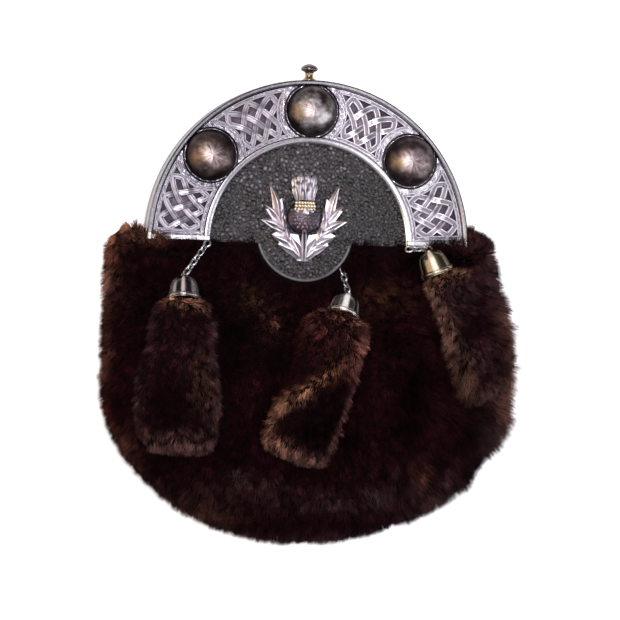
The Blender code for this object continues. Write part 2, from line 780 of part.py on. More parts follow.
def build_fur_body():
    shape = pelt_shape()
    locks = [face for face in shape.faces
             if on_outside(face) and not under_tassel(face.calc_center_median())]
    raise_locks(shape, locks, LOCK_HEIGHT, LOCK_LEAN, body_heading)
    fur = add_part("pouch_fur", shape, BROWN_FUR)
    cut(fur, "space_cantle", cantle_space())
    cut(fur, "space_tongue", tongue_space())
    cut(fur, "space_leather_base", leather_base_space())
    for name, tassel in TASSELS.items():
        cut(fur, "space_tassel_" + name, tassel_body(tassel, TASSEL_LOCK + TASSEL_ROOM, TASSEL_UNDER))
        cut(fur, "space_cap_" + name, cap_space(tassel))
        cut(fur, "space_chain_" + name, chain_space(name))
    for name, centre in LUGS.items():
        cut(fur, "space_lug_" + name, lug_space(centre))
    drop_crumbs(fur)


def panel_half_width(y, side):
    if y >= SHOULDER_Y + 1.0:
        return math.sqrt(max(BACK_RADIUS ** 2 - max(y, 0.0) ** 2, 0.0))
    wide = body_half_width(y, side) - SEAM_INSET - SEAM_GAP
    if y < WIDEST_Y:
        inner = BODY_HALF_WIDTH - SEAM_INSET - SEAM_GAP
        depth = BODY_DEPTH - SEAM_INSET - SEAM_GAP
        drop = min((WIDEST_Y - y) / depth, 1.0)
        wide = inner * math.sqrt(1.0 - drop ** 2)
    return blend(BACK_RADIUS, wide, ease((SHOULDER_Y + 1.0 - y) / 8.0))


def build_back_leather():
    """The back panel, in rows from the arch's top down to the lowest edge."""
    arch = [BACK_RADIUS * math.sin(math.radians(a)) for a in (84, 76, 66, 56, 46, 36, 26, 16)]
    middle = [14.0, BACK_ARCH_Y, -4.0, -8.0, -12.0, -20.0, -29.0, BACK_FLAT_Y, -54.0, WIDEST_Y]
    depth = BODY_DEPTH - SEAM_INSET - SEAM_GAP
    lower = [WIDEST_Y - depth * math.sin(math.radians(a)) for a in (12, 24, 36, 48, 60, 72, 83)]
    rows = []
    for y in arch + middle + lower:
        left, right = -panel_half_width(y, -1), panel_half_width(y, 1)
        band = min(BACK_EDGE_BAND, (right - left) * 0.3)
        tail = ease((y - (WIDEST_Y - depth)) / BACK_EDGE_BAND)
        middle_z = blend(back_edge_z(y), back_z(y), tail) if y < WIDEST_Y else back_z(y)
        edge_z = back_edge_z(y)
        rows.append([Vector((left, y, edge_z)), Vector((left + band, y, middle_z)),
                     Vector((right - band, y, middle_z)), Vector((right, y, edge_z))])
    shape = loft_strip(rows)
    face_up(shape, -1.0)
    top = bmesh.ops.duplicate(shape, geom=shape.verts[:] + shape.edges[:] + shape.faces[:])
    lifted = [v for v in top["geom"] if isinstance(v, bmesh.types.BMVert)]
    bmesh.ops.translate(shape, verts=lifted, vec=(0, 0, BACK_THICKNESS))
    rims = [e for e in shape.edges if e.is_boundary]
    bmesh.ops.bridge_loops(shape, edges=rims)
    add_part("back_leather", shape, BLACK_LEATHER)


def build_strap_loops():
    """Flat leather bridges: tabs under the back panel, and a span on the floor plane."""
    top = BACK_RAISE - CLEARANCE
    low, high = LOOP_LOW_Y, LOOP_HIGH_Y
    inner_low, inner_high = low + LOOP_TAB, high - LOOP_TAB
    t = LOOP_THICKNESS
    profile = (
        (low, top), (inner_low, top), (inner_low + LOOP_SLOPE, t), (inner_high - LOOP_SLOPE, t),
        (inner_high, top), (high, top), (high, top - t), (inner_high + 0.8, top - t),
        (inner_high - LOOP_SLOPE + 0.8, 0.0), (inner_low + LOOP_SLOPE - 0.8, 0.0),
        (inner_low - 0.8, top - t), (low, top - t))
    for name, side in (("left", -1), ("right", 1)):
        shape = prism(profile, -LOOP_WIDTH / 2, LOOP_WIDTH / 2)
        turn = Matrix(((0, 0, 1, 0), (1, 0, 0, 0), (0, 1, 0, 0), (0, 0, 0, 1)))
        place = Matrix.Translation((side * LOOP_X, 0.0, 0.0)) @ turn
        add_part("strap_loop_" + name, placed(shape, place), BLACK_LEATHER)


# ---------------------------------------------------------------- tassels and chains

def tassel_heading(tassel):
    lean = math.radians(tassel["lean"])
    return Vector((math.sin(lean), -math.cos(lean), 0.0))


def tassel_axis(tassel, down):
    """A point on the tassel's middle line, lying on the fur."""
    plan = Vector((*tassel["mouth"], 0.0)) + tassel_heading(tassel) * down
    plan.z = fur_z(plan.x, plan.y) + TASSEL_DEPTH - TASSEL_SINK - 0.5
    return plan


def tassel_ring(tassel, down, left, right, depth, grow, grow_under):
    """One cross-section of the fur bundle, draped over the fur beneath it."""
    axis = tassel_axis(tassel, down)
    level = fur_z(axis.x, axis.y)
    heading = tassel_heading(tassel)
    across = Vector((-heading.y, heading.x, 0.0))
    ring = []
    for step in range(TASSEL_SIDES):
        t = math.tau * (step + 0.5) / TASSEL_SIDES
        half = (right if math.cos(t) > 0 else left) + grow
        lift = depth + (grow_under if math.sin(t) < 0 else grow)
        point = axis + across * half * math.cos(t)
        point.z += TASSEL_DRAPE * (fur_z(point.x, point.y) - level) + lift * math.sin(t)
        ring.append(point)
    return ring


def tassel_body(tassel, grow=0.0, grow_under=0.0):
    """The bundle's smooth form, from the neck in the cap to the loose end.

    Grown, it has no neck, and is the space that the fur beneath leaves free for it.
    """
    rings = []
    mouth, lower = tassel["widths"][0], tassel["widths"][1:]
    if grow:
        rings.append(mouth_ring(tassel, -0.6, mouth["left"], mouth["right"], grow))
    else:
        rings.append(mouth_ring(tassel, -4.0, 5.6, 5.6))
        rings.append(mouth_ring(tassel, 0.6, 6.4, 6.4))
    rings.append(mouth_ring(tassel, mouth["down"], mouth["left"], mouth["right"], grow))
    for width in lower:
        rings.append(tassel_ring(tassel, width["down"], width["left"], width["right"],
                                 TASSEL_DEPTH, grow, grow_under))
    if grow:
        last = tassel["widths"][-1]
        rings.append(tassel_ring(tassel, last["down"] + TASSEL_LEAN + TASSEL_TIP, last["left"],
                                 last["right"], TASSEL_DEPTH, grow - 2.0, grow_under))
    shape = bmesh.new()
    loops = [[shape.verts.new(p) for p in ring] for ring in rings]
    for loop, following in zip(loops, loops[1:]):
        for i in range(TASSEL_SIDES):
            j = (i + 1) % TASSEL_SIDES
            shape.faces.new((loop[i], loop[j], following[j], following[i]))
    shape.faces.new(loops[0])
    shape.faces.new(loops[-1])
    bmesh.ops.recalc_face_normals(shape, faces=shape.faces)
    return shape


def cap_frame(tassel):
    """Place of a cap: its mouth's centre, with X running down the tassel."""
    heading = tassel_heading(tassel)
    mouth = Vector((*tassel["mouth"], 0.0))
    mouth.z = fur_z(mouth.x, mouth.y) + CAP_RISE
    eye = Vector((*tassel["mouth"], 0.0)) - heading * (CAP_HEIGHT + CAP_EYE_RADIUS)
    eye.z = fur_z(eye.x, eye.y) + EYE_RISE
    return Matrix.Translation(mouth) @ along(mouth - eye)


def cap_eye(tassel):
    return cap_frame(tassel) @ Vector((-CAP_HEIGHT - CAP_EYE_RADIUS + 0.5, 0.0, 0.0))


def mouth_ring(tassel, down, left, right, grow=0.0):
    """A cross-section square to the cap, no deeper than the bundle is."""
    frame = cap_frame(tassel)
    ring = []
    for step in range(TASSEL_SIDES):
        t = math.tau * (step + 0.5) / TASSEL_SIDES
        half = (right if math.cos(t) > 0 else left) + grow
        depth = min(half, TASSEL_DEPTH - 0.6 + grow)
        ring.append(frame @ Vector((down, half * math.cos(t), depth * math.sin(t))))
    return ring


TO_X = Matrix.Rotation(-math.pi / 2, 4, "Y")     # turns a bell's height into -X


def build_tassels():
    bell = ((0.0, CAP_HEIGHT), (2.6, CAP_HEIGHT), (5.4, 11.0), (7.2, 7.4), (7.8, 2.2),
            (CAP_RADIUS, 1.4), (CAP_RADIUS, 0.0), (7.4, 0.0), (6.2, 7.6), (0.0, 10.8))
    for name, tassel in TASSELS.items():
        shape = tassel_body(tassel)
        heading = tassel_heading(tassel)
        mouth = Vector(tassel["mouth"])
        ends = [f for f in shape.faces if len(f.verts) > 4 and f.normal.dot(heading) > 0.5]
        sides = [f for f in shape.faces if len(f.verts) == 4 and f.normal.z > FACES_UP
                 and min((v.co.xy - mouth).length for v in f.verts) > CAP_RADIUS]
        raise_locks(shape, sides, TASSEL_LOCK, TASSEL_LEAN, lambda point: heading.copy())
        bmesh.ops.poke(shape, faces=ends, offset=TASSEL_TIP)
        add_part("tassel_fur_" + name, shape, BROWN_FUR)
        cap = add_part("tassel_cap_" + name,
                       placed(turned(bell, 12), cap_frame(tassel) @ TO_X), SILVER)
        eye = bmesh.new()
        width = 2 * CAP_EYE_RADIUS + WIRE
        run = chain_run(name)
        heading = along(run["heading"], -link_roll(name, run["count"] - 1))
        add_link(eye, width, width, WIRE, Matrix.Translation(cap_eye(tassel)) @ heading)
        fuse(cap, "cap_eye_" + name, eye)
        smooth_shading(cap)


def cap_space(tassel):
    space = ((0.0, CAP_HEIGHT + 5.2), (3.2, CAP_HEIGHT + 4.6), (5.6, CAP_HEIGHT + 0.4),
             (7.4, 9.0), (CAP_RADIUS + 0.4, 4.0), (CAP_RADIUS + 0.4, -4.5), (0.0, -4.5))
    return placed(turned(space, 14), cap_frame(tassel) @ TO_X)


def chain_run(name):
    """Ends of a chain's middle line, and the place and size of its links."""
    chain = CHAINS[name]
    start, end = chain["start"], cap_eye(TASSELS[name])
    span = (end - start).length
    hook = CAP_EYE_RADIUS - WIRE - CLEARANCE     # first wire's middle, inside an eye
    first = hook if chain["on_lug"] else WIRE / 2
    count = chain["links"]
    room = span - first - hook + WIRE + (count - 1) * (2 * WIRE - LINK_OVERLAP)
    length = room / count
    pitch = length - 2 * WIRE + LINK_OVERLAP
    return {"start": start, "heading": (end - start).normalized(), "length": length,
            "pitch": pitch, "first": first + (length - WIRE) / 2, "count": count}


def link_roll(name, number):
    """Links lie rolled a quarter turn from their neighbours, by turns."""
    return CHAINS[name]["roll"] * (1 if number % 2 == 0 else -1)


def build_chains():
    for name in CHAINS:
        run = chain_run(name)
        halves = [bmesh.new(), bmesh.new()]
        for number in range(run["count"]):
            middle = run["start"] + run["heading"] * (run["first"] + run["pitch"] * number)
            place = Matrix.Translation(middle) @ along(run["heading"], link_roll(name, number))
            add_link(halves[number % 2], run["length"], LINK_WIDTH, WIRE, place)
        chain = add_part("chain_" + name, halves[0], SILVER)
        fuse(chain, "links_" + name, halves[1])


def chain_space(name):
    """A groove in the fur for a chain: a fat rod along it."""
    run = chain_run(name)
    length = run["pitch"] * (run["count"] - 1) + run["length"] + 1.0
    rod = bmesh.new()
    bmesh.ops.create_cone(rod, cap_ends=True, segments=10, radius1=CHAIN_GROOVE, radius2=CHAIN_GROOVE,
                          depth=length)
    middle = run["start"] + run["heading"] * (run["first"] - run["length"] / 2 - 0.5
                                              + length / 2)
    lie = Matrix.Rotation(math.pi / 2, 4, "Y")
    return placed(rod, Matrix.Translation(middle) @ along(run["heading"]) @ lie)


# ---------------------------------------------------------------- assembly

clear_scene()
DICE = random.Random(7)
OUTLINE = body_outline()
PARTS = new_collection("sporran_pouch")
CUTTERS = new_collection("cutters")
CENTRE = bpy.data.objects.new("cantle_centre", None)
CENTRE.location = (0.0, CANTLE_CENTRE_Y * MM, 0.0)
PARTS.objects.link(CENTRE)

build_cantle()
build_domes()
build_knob()
build_front_leather()
build_badge()
build_back_leather()
build_strap_loops()
build_tassels()
build_chains()
build_fur_body()
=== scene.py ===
"""The finish of a full-dress sporran pouch: fur, silver, leather and light.

Shapes are drawn in millimetres round the centre of the cantle's half ring, front up (+Z),
knob towards +Y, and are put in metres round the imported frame's origin when a piece is made.
"""
import math

import bmesh
import bpy
import numpy as np
from mathutils import Matrix, Vector, kdtree
from mathutils.geometry import delaunay_2d_cdt


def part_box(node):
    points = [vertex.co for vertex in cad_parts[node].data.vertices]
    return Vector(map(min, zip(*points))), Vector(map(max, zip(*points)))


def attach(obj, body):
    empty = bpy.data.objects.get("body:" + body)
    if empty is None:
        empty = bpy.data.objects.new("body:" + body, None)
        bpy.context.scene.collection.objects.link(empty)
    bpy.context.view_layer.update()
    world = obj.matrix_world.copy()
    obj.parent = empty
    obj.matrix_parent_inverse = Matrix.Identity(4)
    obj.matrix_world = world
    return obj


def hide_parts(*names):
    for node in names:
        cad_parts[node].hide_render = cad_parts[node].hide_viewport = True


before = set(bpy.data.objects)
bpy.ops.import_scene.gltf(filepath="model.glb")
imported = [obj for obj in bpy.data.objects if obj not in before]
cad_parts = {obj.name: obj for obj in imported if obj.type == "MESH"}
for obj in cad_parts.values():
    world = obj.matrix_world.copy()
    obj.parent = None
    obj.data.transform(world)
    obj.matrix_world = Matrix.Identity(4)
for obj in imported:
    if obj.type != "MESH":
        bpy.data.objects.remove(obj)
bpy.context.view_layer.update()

MM = 0.001
CANTLE_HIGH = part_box("cantle")[1]
RING_OUTER = CANTLE_HIGH.x / MM
CENTRE_Y = CANTLE_HIGH.y / MM - RING_OUTER
BODY = "root"

# Cantle
RING_INNER = 49.8
WALL_FOOT_Z = 9.8
PLATE_BACK_Z = 22.3
GROUND_Z = 23.4                 # the dark ground between the interlaced bands
PLATE_Z = 24.5
RIM_Z = 26.5
BEAD_Z = 25.8
END_BAR = 2.6
MIDDLE_RADIUS = 66.0
DOME_ANGLES = {"left": 140.0, "top": 90.0, "right": 40.0}
DOME_RADIUS = 12.9
DOME_HEIGHT = 9.5
BEZEL_INNER = 13.2
BEZEL_OUTER = 14.1
BEZEL_Z = 25.8
PANEL_INNER = 55.3
PANEL_OUTER = 76.4
PANEL_COLUMNS = 3
PANEL_ROWS = 2
PANEL_END_ANGLE = 4.4
BEZEL_MARGIN = 17.6
BAND_HALF = 1.6                 # half width of an interlaced band
BAND_STEPS = 12                 # rings of a band between two crossings
TURN_ROUNDING = 0.3             # of the strands where they turn back, 0 for a sharp point
BAND_TOP = 1.15                 # above the ground
BORDER_MARGIN = 0.1             # of a lattice step, from the plait to its border
BORDER_HALF = 1.1
BAND_DIP = 0.42                 # over and under that mean height at a crossing
LUGS = {"left": Vector((-51.4, -1.9, 24.2)), "right": Vector((51.4, -1.7, 25.3))}
LUG_RADIUS = 2.0

# Leather and badge
BADGE_X = -2.4
TONGUE_X = -1.5
TONGUE_Y = 5.0
TONGUE_RADIUS = 24.5
TONGUE_BEND_Y = -9.0
TONGUE_RISE = 2.0
FRONT_RADIUS = 79.0
FRONT_BASE_Y = -1.0
FRONT_BASE_X = 45.8
FRONT_BACK_Z = 20.0
FRONT_Z = 22.0
PEBBLE = 2.2                    # spacing of the leather's grain
PEBBLE_HEIGHT = 0.62

# Fur body: the base surface, under the pile
BODY_HALF_WIDTH = 99.5
BODY_RIGHT_SHOULDER = 92.5
BODY_DEPTH = 77.5
WIDEST_Y = -70.0
SHOULDER_Y = -5.0
SHOULDER_RADIUS = 10.5
SHOULDER_RUN = 40.0
WIDEST_Z = 20.0
TOP_CROWN_Z = 23.0
BELLY_CROWN_Z = 44.5
CROWN_START_Y = -8.0
CROWN_RUN = 65.0
PELT_TOP = 7.5
PELT_SIDE = 5.0
SEAM_INSET = 9.5
BACK_RAISE = 7.3
BACK_FLAT_Y = -38.0
BACK_ARCH_Y = 4.0
BACK_EDGE_RISE = 4.6
LONGER_RIGHT = (                 # length of the right side's pile by its place up the body
    (-145.0, 1.25), (-130.0, 1.4), (-115.0, 1.6), (-104.0, 1.5), (-95.0, 1.8), (-84.0, 2.4),
    (-72.0, 1.85), (-64.0, 1.95), (-56.0, 2.5), (-47.0, 2.05), (-30.0, 1.85), (-16.0, 1.45),
    (-6.0, 1.45), (0.0, 1.15), (10.0, 0.75),
)
POLE = np.array((0.0, SHOULDER_Y + SHOULDER_RADIUS))
UNDER_SIDE = (                   # inset and height outside, then inside, down to the seam
    (0.0, 15.4, PELT_SIDE, 15.4),
    (0.3, 11.5, PELT_SIDE, 12.5),
    (1.2, 7.9, PELT_SIDE, 10.5),
    (2.6, 4.6, 5.6, 8.7),
    (4.5, 2.2, 6.6, 7.4),
    (6.8, 0.8, 8.0, 6.4),
    (SEAM_INSET, 0.0, SEAM_INSET, 5.6),
)

# Tassels, as the solids have them
TASSEL_DEPTH = 9.5
TASSEL_SINK = 2.0
TASSEL_DRAPE = 0.6
TASSEL_SIDES = 56
TASSELS = {                      # widths: distance down, reach to the left and to the right
    "left": {"mouth": (-63.7, -30.7), "lean": -2.2, "widths": (
        (3.0, 14.5, 13.0), (22.0, 17.5, 14.5), (44.0, 22.5, 18.7),
        (62.0, 21.0, 18.7), (70.0, 15.5, 16.5))},
    "middle": {"mouth": (15.1, -36.9), "lean": -19.2, "widths": (
        (3.0, 15.0, 12.5), (16.0, 19.0, 15.5), (32.0, 16.5, 15.2),
        (54.0, 18.5, 17.2), (70.0, 17.5, 16.0))},
    "right": {"mouth": (65.3, -14.3), "lean": 22.2, "widths": (
        (3.0, 8.5, 15.5), (15.0, 9.0, 18.0), (30.0, 10.5, 19.0),
        (50.0, 12.5, 18.6), (61.0, 12.5, 14.0))},
}
CAP_HEIGHT = 12.5
CAP_RADIUS = 8.6
CAP_EYE_RADIUS = 1.9
CAP_RISE = 7.5
EYE_RISE = 6.6
WIRE = 1.1
LINK_WIDTH = 3.9
LINK_GAP = 0.02                 # kept between the drawn links
LINK_ROLL = 45.0
CHAINS = {
    "left": {"start": LUGS["left"], "links": 6, "roll": -LINK_ROLL, "on_lug": True},
    "middle": {"start": Vector((17.6, -11.6, 21.6)), "links": 4, "roll": -LINK_ROLL,
               "on_lug": False},
    "right": {"start": LUGS["right"], "links": 3, "roll": LINK_ROLL, "on_lug": True},
}

# Pile
PILE_COUNT = 118000
TASSEL_PILE_COUNT = 20000
SHOULDER_COUNT = 8000   # further hairs beside and under the cantle
PILE_PIECES = 3                 # the body's pile is shared out over this many pieces
PILE_ROOT = 2.2                 # below the base surface
PILE_LENGTH = 8.0
TASSEL_PILE_LENGTH = 5.8
PILE_RADIUS = 0.26
LOWEST_TIP = 0.15               # the hairs underneath lie flat on the surface below
HAIR_FACES = ((0, 1, 3), (1, 2, 3), (2, 0, 3), (0, 2, 1))
TO_FRAME = Matrix.Scale(MM, 4) @ Matrix.Translation((0.0, CENTRE_Y, 0.0))


# ---------------------------------------------------------------- helpers

def smooth(t):
    t = np.clip(t, 0.0, 1.0)
    return t * t * (3.0 - 2.0 * t)


def blend(a, b, t):
    return a + (b - a) * t


def unit(v):
    return v / np.maximum(np.linalg.norm(v, axis=-1, keepdims=True), 1e-9)


def waves(points, scale, seed):
    """A smooth random field between about -1 and 1, made of a few crossing waves."""
    dice = np.random.default_rng(seed)
    total = np.zeros(len(points))
    for _ in range(7):
        heading = unit(dice.normal(size=3))
        stretch = dice.uniform(0.6, 1.6)
        total += np.sin(points @ heading * math.tau / scale * stretch + dice.uniform(0, math.tau))
    return total / 3.2


def add_object(name, data):
    obj = bpy.data.objects.new(name, data)
    bpy.context.scene.collection.objects.link(obj)
    return obj


def add_tones(mesh, tones):
    """Grey or coloured tones of the vertices, which the materials read."""
    rgba = np.ones((len(mesh.vertices), 4), np.float32)
    rgba[:, :3] = tones
    mesh.color_attributes.new("tone", "FLOAT_COLOR", "POINT").data.foreach_set(
        "color", rgba.ravel())


def make_mesh(name, form):
    """Turn a form drawn in millimetres into a mesh in the frame, with its faces pointing out."""
    bmesh.ops.recalc_face_normals(form, faces=form.faces)
    mesh = bpy.data.meshes.new(name)
    form.to_mesh(mesh)
    form.free()
    mesh.transform(TO_FRAME)
    return mesh


def add_piece(name, mesh, material, replaces=()):
    """A mesh becomes a piece that rides on the frame."""
    mesh.shade_smooth()
    obj = add_object(name, mesh)
    mesh.materials.append(material)
    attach(obj, BODY)
    if replaces:
        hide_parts(*replaces)
    return obj


def ring_quads(count, sides, closed=False):
    """Faces between rings of vertices, from each ring to the next one."""
    faces = []
    for r in range(count if closed else count - 1):
        s = (r + 1) % count
        for i in range(sides):
            j = (i + 1) % sides
            faces.append([r * sides + i, r * sides + j, s * sides + j, s * sides + i])
    return faces


class Shape:
    """Vertices and faces gathered from several closed forms."""

    def __init__(self):
        self.verts = []
        self.faces = []

    def add(self, verts, faces, place=None):
        first = len(self.verts)
        self.verts += [tuple(place @ Vector(vert)) if place is not None else tuple(Vector(vert))
                       for vert in verts]
        self.faces += [[first + i for i in face] for face in faces]
        return self

    def rings(self, rings, place=None, closed=False):
        """A skin over rings of points; either a closed loop of rings or capped ends."""
        sides, count = len(rings[0]), len(rings)
        faces = ring_quads(count, sides, closed)
        if not closed:
            faces.append(list(range(sides))[::-1])
            faces.append([(count - 1) * sides + i for i in range(sides)])
        return self.add([p for ring in rings for p in ring], faces, place)

    def turned(self, profile, steps, place=None):
        """A profile of (radius, height), from the axis round to the axis, turned round Z."""
        on_axis = profile[0][0] == 0.0
        rings = []
        for radius, z in profile[1:-1] if on_axis else profile:
            rings.append([(radius * math.cos(math.tau * i / steps),
                           radius * math.sin(math.tau * i / steps), z) for i in range(steps)])
        if not on_axis:
            return self.rings(rings, place, closed=True)
        verts = [p for ring in rings for p in ring]
        verts += [(0, 0, profile[0][1]), (0, 0, profile[-1][1])]
        faces = ring_quads(len(rings), steps)
        low, high = len(verts) - 2, len(verts) - 1
        last = (len(rings) - 1) * steps
        faces += [[low, (i + 1) % steps, i] for i in range(steps)]
        faces += [[high, last + i, last + (i + 1) % steps] for i in range(steps)]
        return self.add(verts, faces, place)

    def form(self):
        form = bmesh.new()
        verts = [form.verts.new(v) for v in self.verts]
        for face in self.faces:
            form.faces.new([verts[i] for i in face])
        return form

    def piece(self, name, material, sharp=None, replaces=(), slot="silver"):
        """Make the gathered forms one piece; edges over the sharp angle stay sharp."""
        mesh = make_mesh(name, self.form())
        add_piece(name, mesh, material, replaces)
        if sharp is not None:
            mesh.set_sharp_from_angle(angle=math.radians(sharp))
        return mesh


def along(direction, roll=0.0):
    """A rotation that turns X to a direction, with Y kept level and then rolled."""
    x = direction.normalized()
    y = Vector((0, 0, 1)).cross(x).normalized()
    z = x.cross(y)
    turn = Matrix((x, y, z)).transposed().to_4x4()
    return turn @ Matrix.Rotation(math.radians(roll), 4, "X")


def ring_point(angle, radius):
    turn = math.radians(angle)
    return (radius * math.cos(turn), radius * math.sin(turn))


# ---------------------------------------------------------------- materials

class Nodes:
    """A small helper that adds and links the nodes of a material or of the world."""

    def __init__(self, name, owners=bpy.data.materials, shader="Principled BSDF"):
        self.owner = owners.new(name)
        self.owner.use_nodes = True
        self.tree = self.owner.node_tree
        self.shader = self.tree.nodes[shader]

    def node(self, kind, inputs=None, **settings):
        node = self.tree.nodes.new(kind)
        for key, value in settings.items():
            setattr(node, key, value)
        for key, value in (inputs or {}).items():
            self.put(node.inputs[key], value)
        return node

    def put(self, socket, value):
        if isinstance(value, bpy.types.NodeSocket):
            self.tree.links.new(value, socket)
        else:
            socket.default_value = value

    def set(self, **values):
        for key, value in values.items():
            self.put(self.shader.inputs[key.replace("_", " ")], value)

    def place(self):
        return self.node("ShaderNodeTexCoord").outputs["Object"]

    def axes(self):
        return self.node("ShaderNodeSeparateXYZ", {0: self.place()}).outputs

    def tone(self, output="Color"):
        """The tone that the mesh carries."""
        return self.node("ShaderNodeAttribute", attribute_name="tone").outputs[output]

    def math(self, operation, *values):
        return self.node("ShaderNodeMath", dict(enumerate(values)), operation=operation).outputs[0]

    def vector(self, operation, *values, output="Vector"):
        return self.node("ShaderNodeVectorMath", dict(enumerate(values)),
                         operation=operation).outputs[output]

    def reach_from(self, middle):
        """The offset from a place in millimetres, its part in plan and that part's length."""
        middle = Vector((middle[0], middle[1] + CENTRE_Y, middle[2])) * MM
        offset = self.vector("SUBTRACT", self.place(), middle)
        flat = self.vector("MULTIPLY", offset, (1.0, 1.0, 0.0))
        return offset, flat, self.vector("LENGTH", flat, output="Value")

    def noise(self, scale, detail=3.0, roughness=0.5, place=None):
        return self.node("ShaderNodeTexNoise", {
            "Vector": place or self.place(), "Scale": scale, "Detail": detail,
            "Roughness": roughness}).outputs["Fac"]

    def side(self, low, high, to_low=0.0, to_high=1.0):
        """A range from left to right, in millimetres."""
        return self.range(self.axes()["X"], low * MM, high * MM, to_low, to_high)

    def rise(self, low, high, to_low=0.0, to_high=1.0):
        """A range up from the cantle's centre, in millimetres."""
        return self.range(self.axes()["Y"], (CENTRE_Y + low) * MM, (CENTRE_Y + high) * MM,
                          to_low, to_high)

    def across(self):
        """Painted shade and light across the plate: darker on its left side and brighter on its
        right.
        """
        return self.ramp(self.side(-80.0, 80.0), (
            (0.10, (0.33, 0.33, 0.355)), (0.34, (0.43, 0.42, 0.445)), (0.66, (1.02, 1.0, 1.04)),
            (0.9, (0.85, 0.845, 0.885))))

    def ramp(self, value, stops):
        node = self.node("ShaderNodeValToRGB", {"Fac": value})
        ramp = node.color_ramp
        ramp.elements[0].position, ramp.elements[0].color = stops[0][0], (*stops[0][1], 1.0)
        ramp.elements[1].position, ramp.elements[1].color = stops[-1][0], (*stops[-1][1], 1.0)
        for position, colour in stops[1:-1]:
            ramp.elements.new(position).color = (*colour, 1.0)
        return node.outputs["Color"]

    def range(self, value, low, high, to_low, to_high):
        return self.node("ShaderNodeMapRange", {
            "Value": value, "From Min": low, "From Max": high,
            "To Min": to_low, "To Max": to_high}).outputs["Result"]

    def mix(self, factor, a, b, blend_type="MIX"):
        node = self.node("ShaderNodeMix", data_type="RGBA", blend_type=blend_type)
        for key, value in (("Factor", factor), (6, a), (7, b)):
            self.put(node.inputs[key], (*value, 1.0) if isinstance(value, tuple) else value)
        return node.outputs[2]

    def times(self, a, b):
        """One colour multiplied by another."""
        return self.mix(1.0, a, b, "MULTIPLY")

    def gloss(self, low, high, scale=650.0, detail=3.0):
        """An uneven roughness."""
        return self.range(self.noise(scale, detail), 0.2, 0.8, low, high)

    def bump(self, height, distance, strength=1.0):
        return self.node("ShaderNodeBump", {
            "Height": height, "Distance": distance, "Strength": strength}).outputs["Normal"]


GILT_RISE = (0.084, 0.098)       # metres up the frame over which the leaves turn gilt
GILT_ASIDE = (0.0072, 0.0095)    # and to both sides of the badge's middle


def silver_material(name, dark, light, gilt=0.0):
    """Bright plate, tarnished where the metal is hollow, with a faintly brushed gloss."""
    n = Nodes(name)
    hollow = n.node("ShaderNodeAmbientOcclusion", {"Distance": 0.0016}, samples=8,
                    only_local=True).outputs["AO"]
    cloud = n.noise(240.0, 3.0, 0.5)
    shade = n.ramp(hollow, ((0.36, dark), (0.78, light)))
    tint = n.ramp(cloud, ((0.3, (0.86, 0.85, 0.87)), (0.7, (1.0, 1.0, 1.0))))
    place = n.axes()
    aside = n.math("ABSOLUTE", n.math("ADD", place["X"], -BADGE_X * MM))
    tips = n.math("MULTIPLY", n.range(place["Y"], *GILT_RISE, 0.12, 1.0),
                  n.range(aside, *GILT_ASIDE, 0.0, 1.0))
    wear_and_painted_light = n.math("MULTIPLY", n.range(n.noise(110.0, 2.0), 0.42, 0.6, 0.0, gilt), tips)
    tint = n.mix(wear_and_painted_light, tint, (0.92, 0.74, 0.50))
    # The across ramp adds painted shade on the left and painted light on the right.
    n.set(Base_Color=n.times(n.times(shade, n.across()), tint), Metallic=1.0,
          Roughness=n.gloss(0.30, 0.48, 500.0, 2.0), Normal=n.bump(n.noise(620.0, 3.0), 0.00012))
    return n.owner


def plate_material():
    """Cast plate between the panels: cloudy, with a hammered gloss."""
    n = Nodes("cast_plate")
    tone = n.ramp(n.noise(210.0, 4.0, 0.6), ((0.34, (0.17, 0.15, 0.18)), (0.5, (0.38, 0.36, 0.39)),
                                             (0.66, (0.66, 0.66, 0.67))))
    # The across ramp adds painted shade on the left and painted light on the right.
    n.set(Base_Color=n.times(tone, n.across()), Metallic=1.0,
          Roughness=n.range(n.noise(400.0), 0.3, 0.7, 0.2, 0.36),
          Normal=n.bump(n.noise(480.0, 3.0), 0.0004))
    return n.owner


def plain_silver_material(name, colour, low, high, with_painted_reflection=False):
    """Metal of one colour; with a painted reflection, the metal takes it from the mesh: a bright
    painted highlight line, made less metallic, between dark painted reflections.
    """
    n = Nodes(name)
    tint = n.mix(n.noise(180.0, 3.0), tuple(c * 0.86 for c in colour), colour)
    n.set(Metallic=1.0)
    if with_painted_reflection:
        # The mesh's tone is a painted reflection; where it is brightest the metal turns less
        # metallic, painting the highlight line.
        streak = n.tone()
        tint = n.times(tint, streak)
        n.set(Metallic=n.range(streak, 0.45, 0.9, 1.0, 0.2))
    n.set(Base_Color=tint, Roughness=n.gloss(low, high))
    return n.owner


BEAD_HIGHLIGHT_EDGE = (0.0532, 0.0540)     # where the painted highlight on the inner bead ends, in metres from the centre


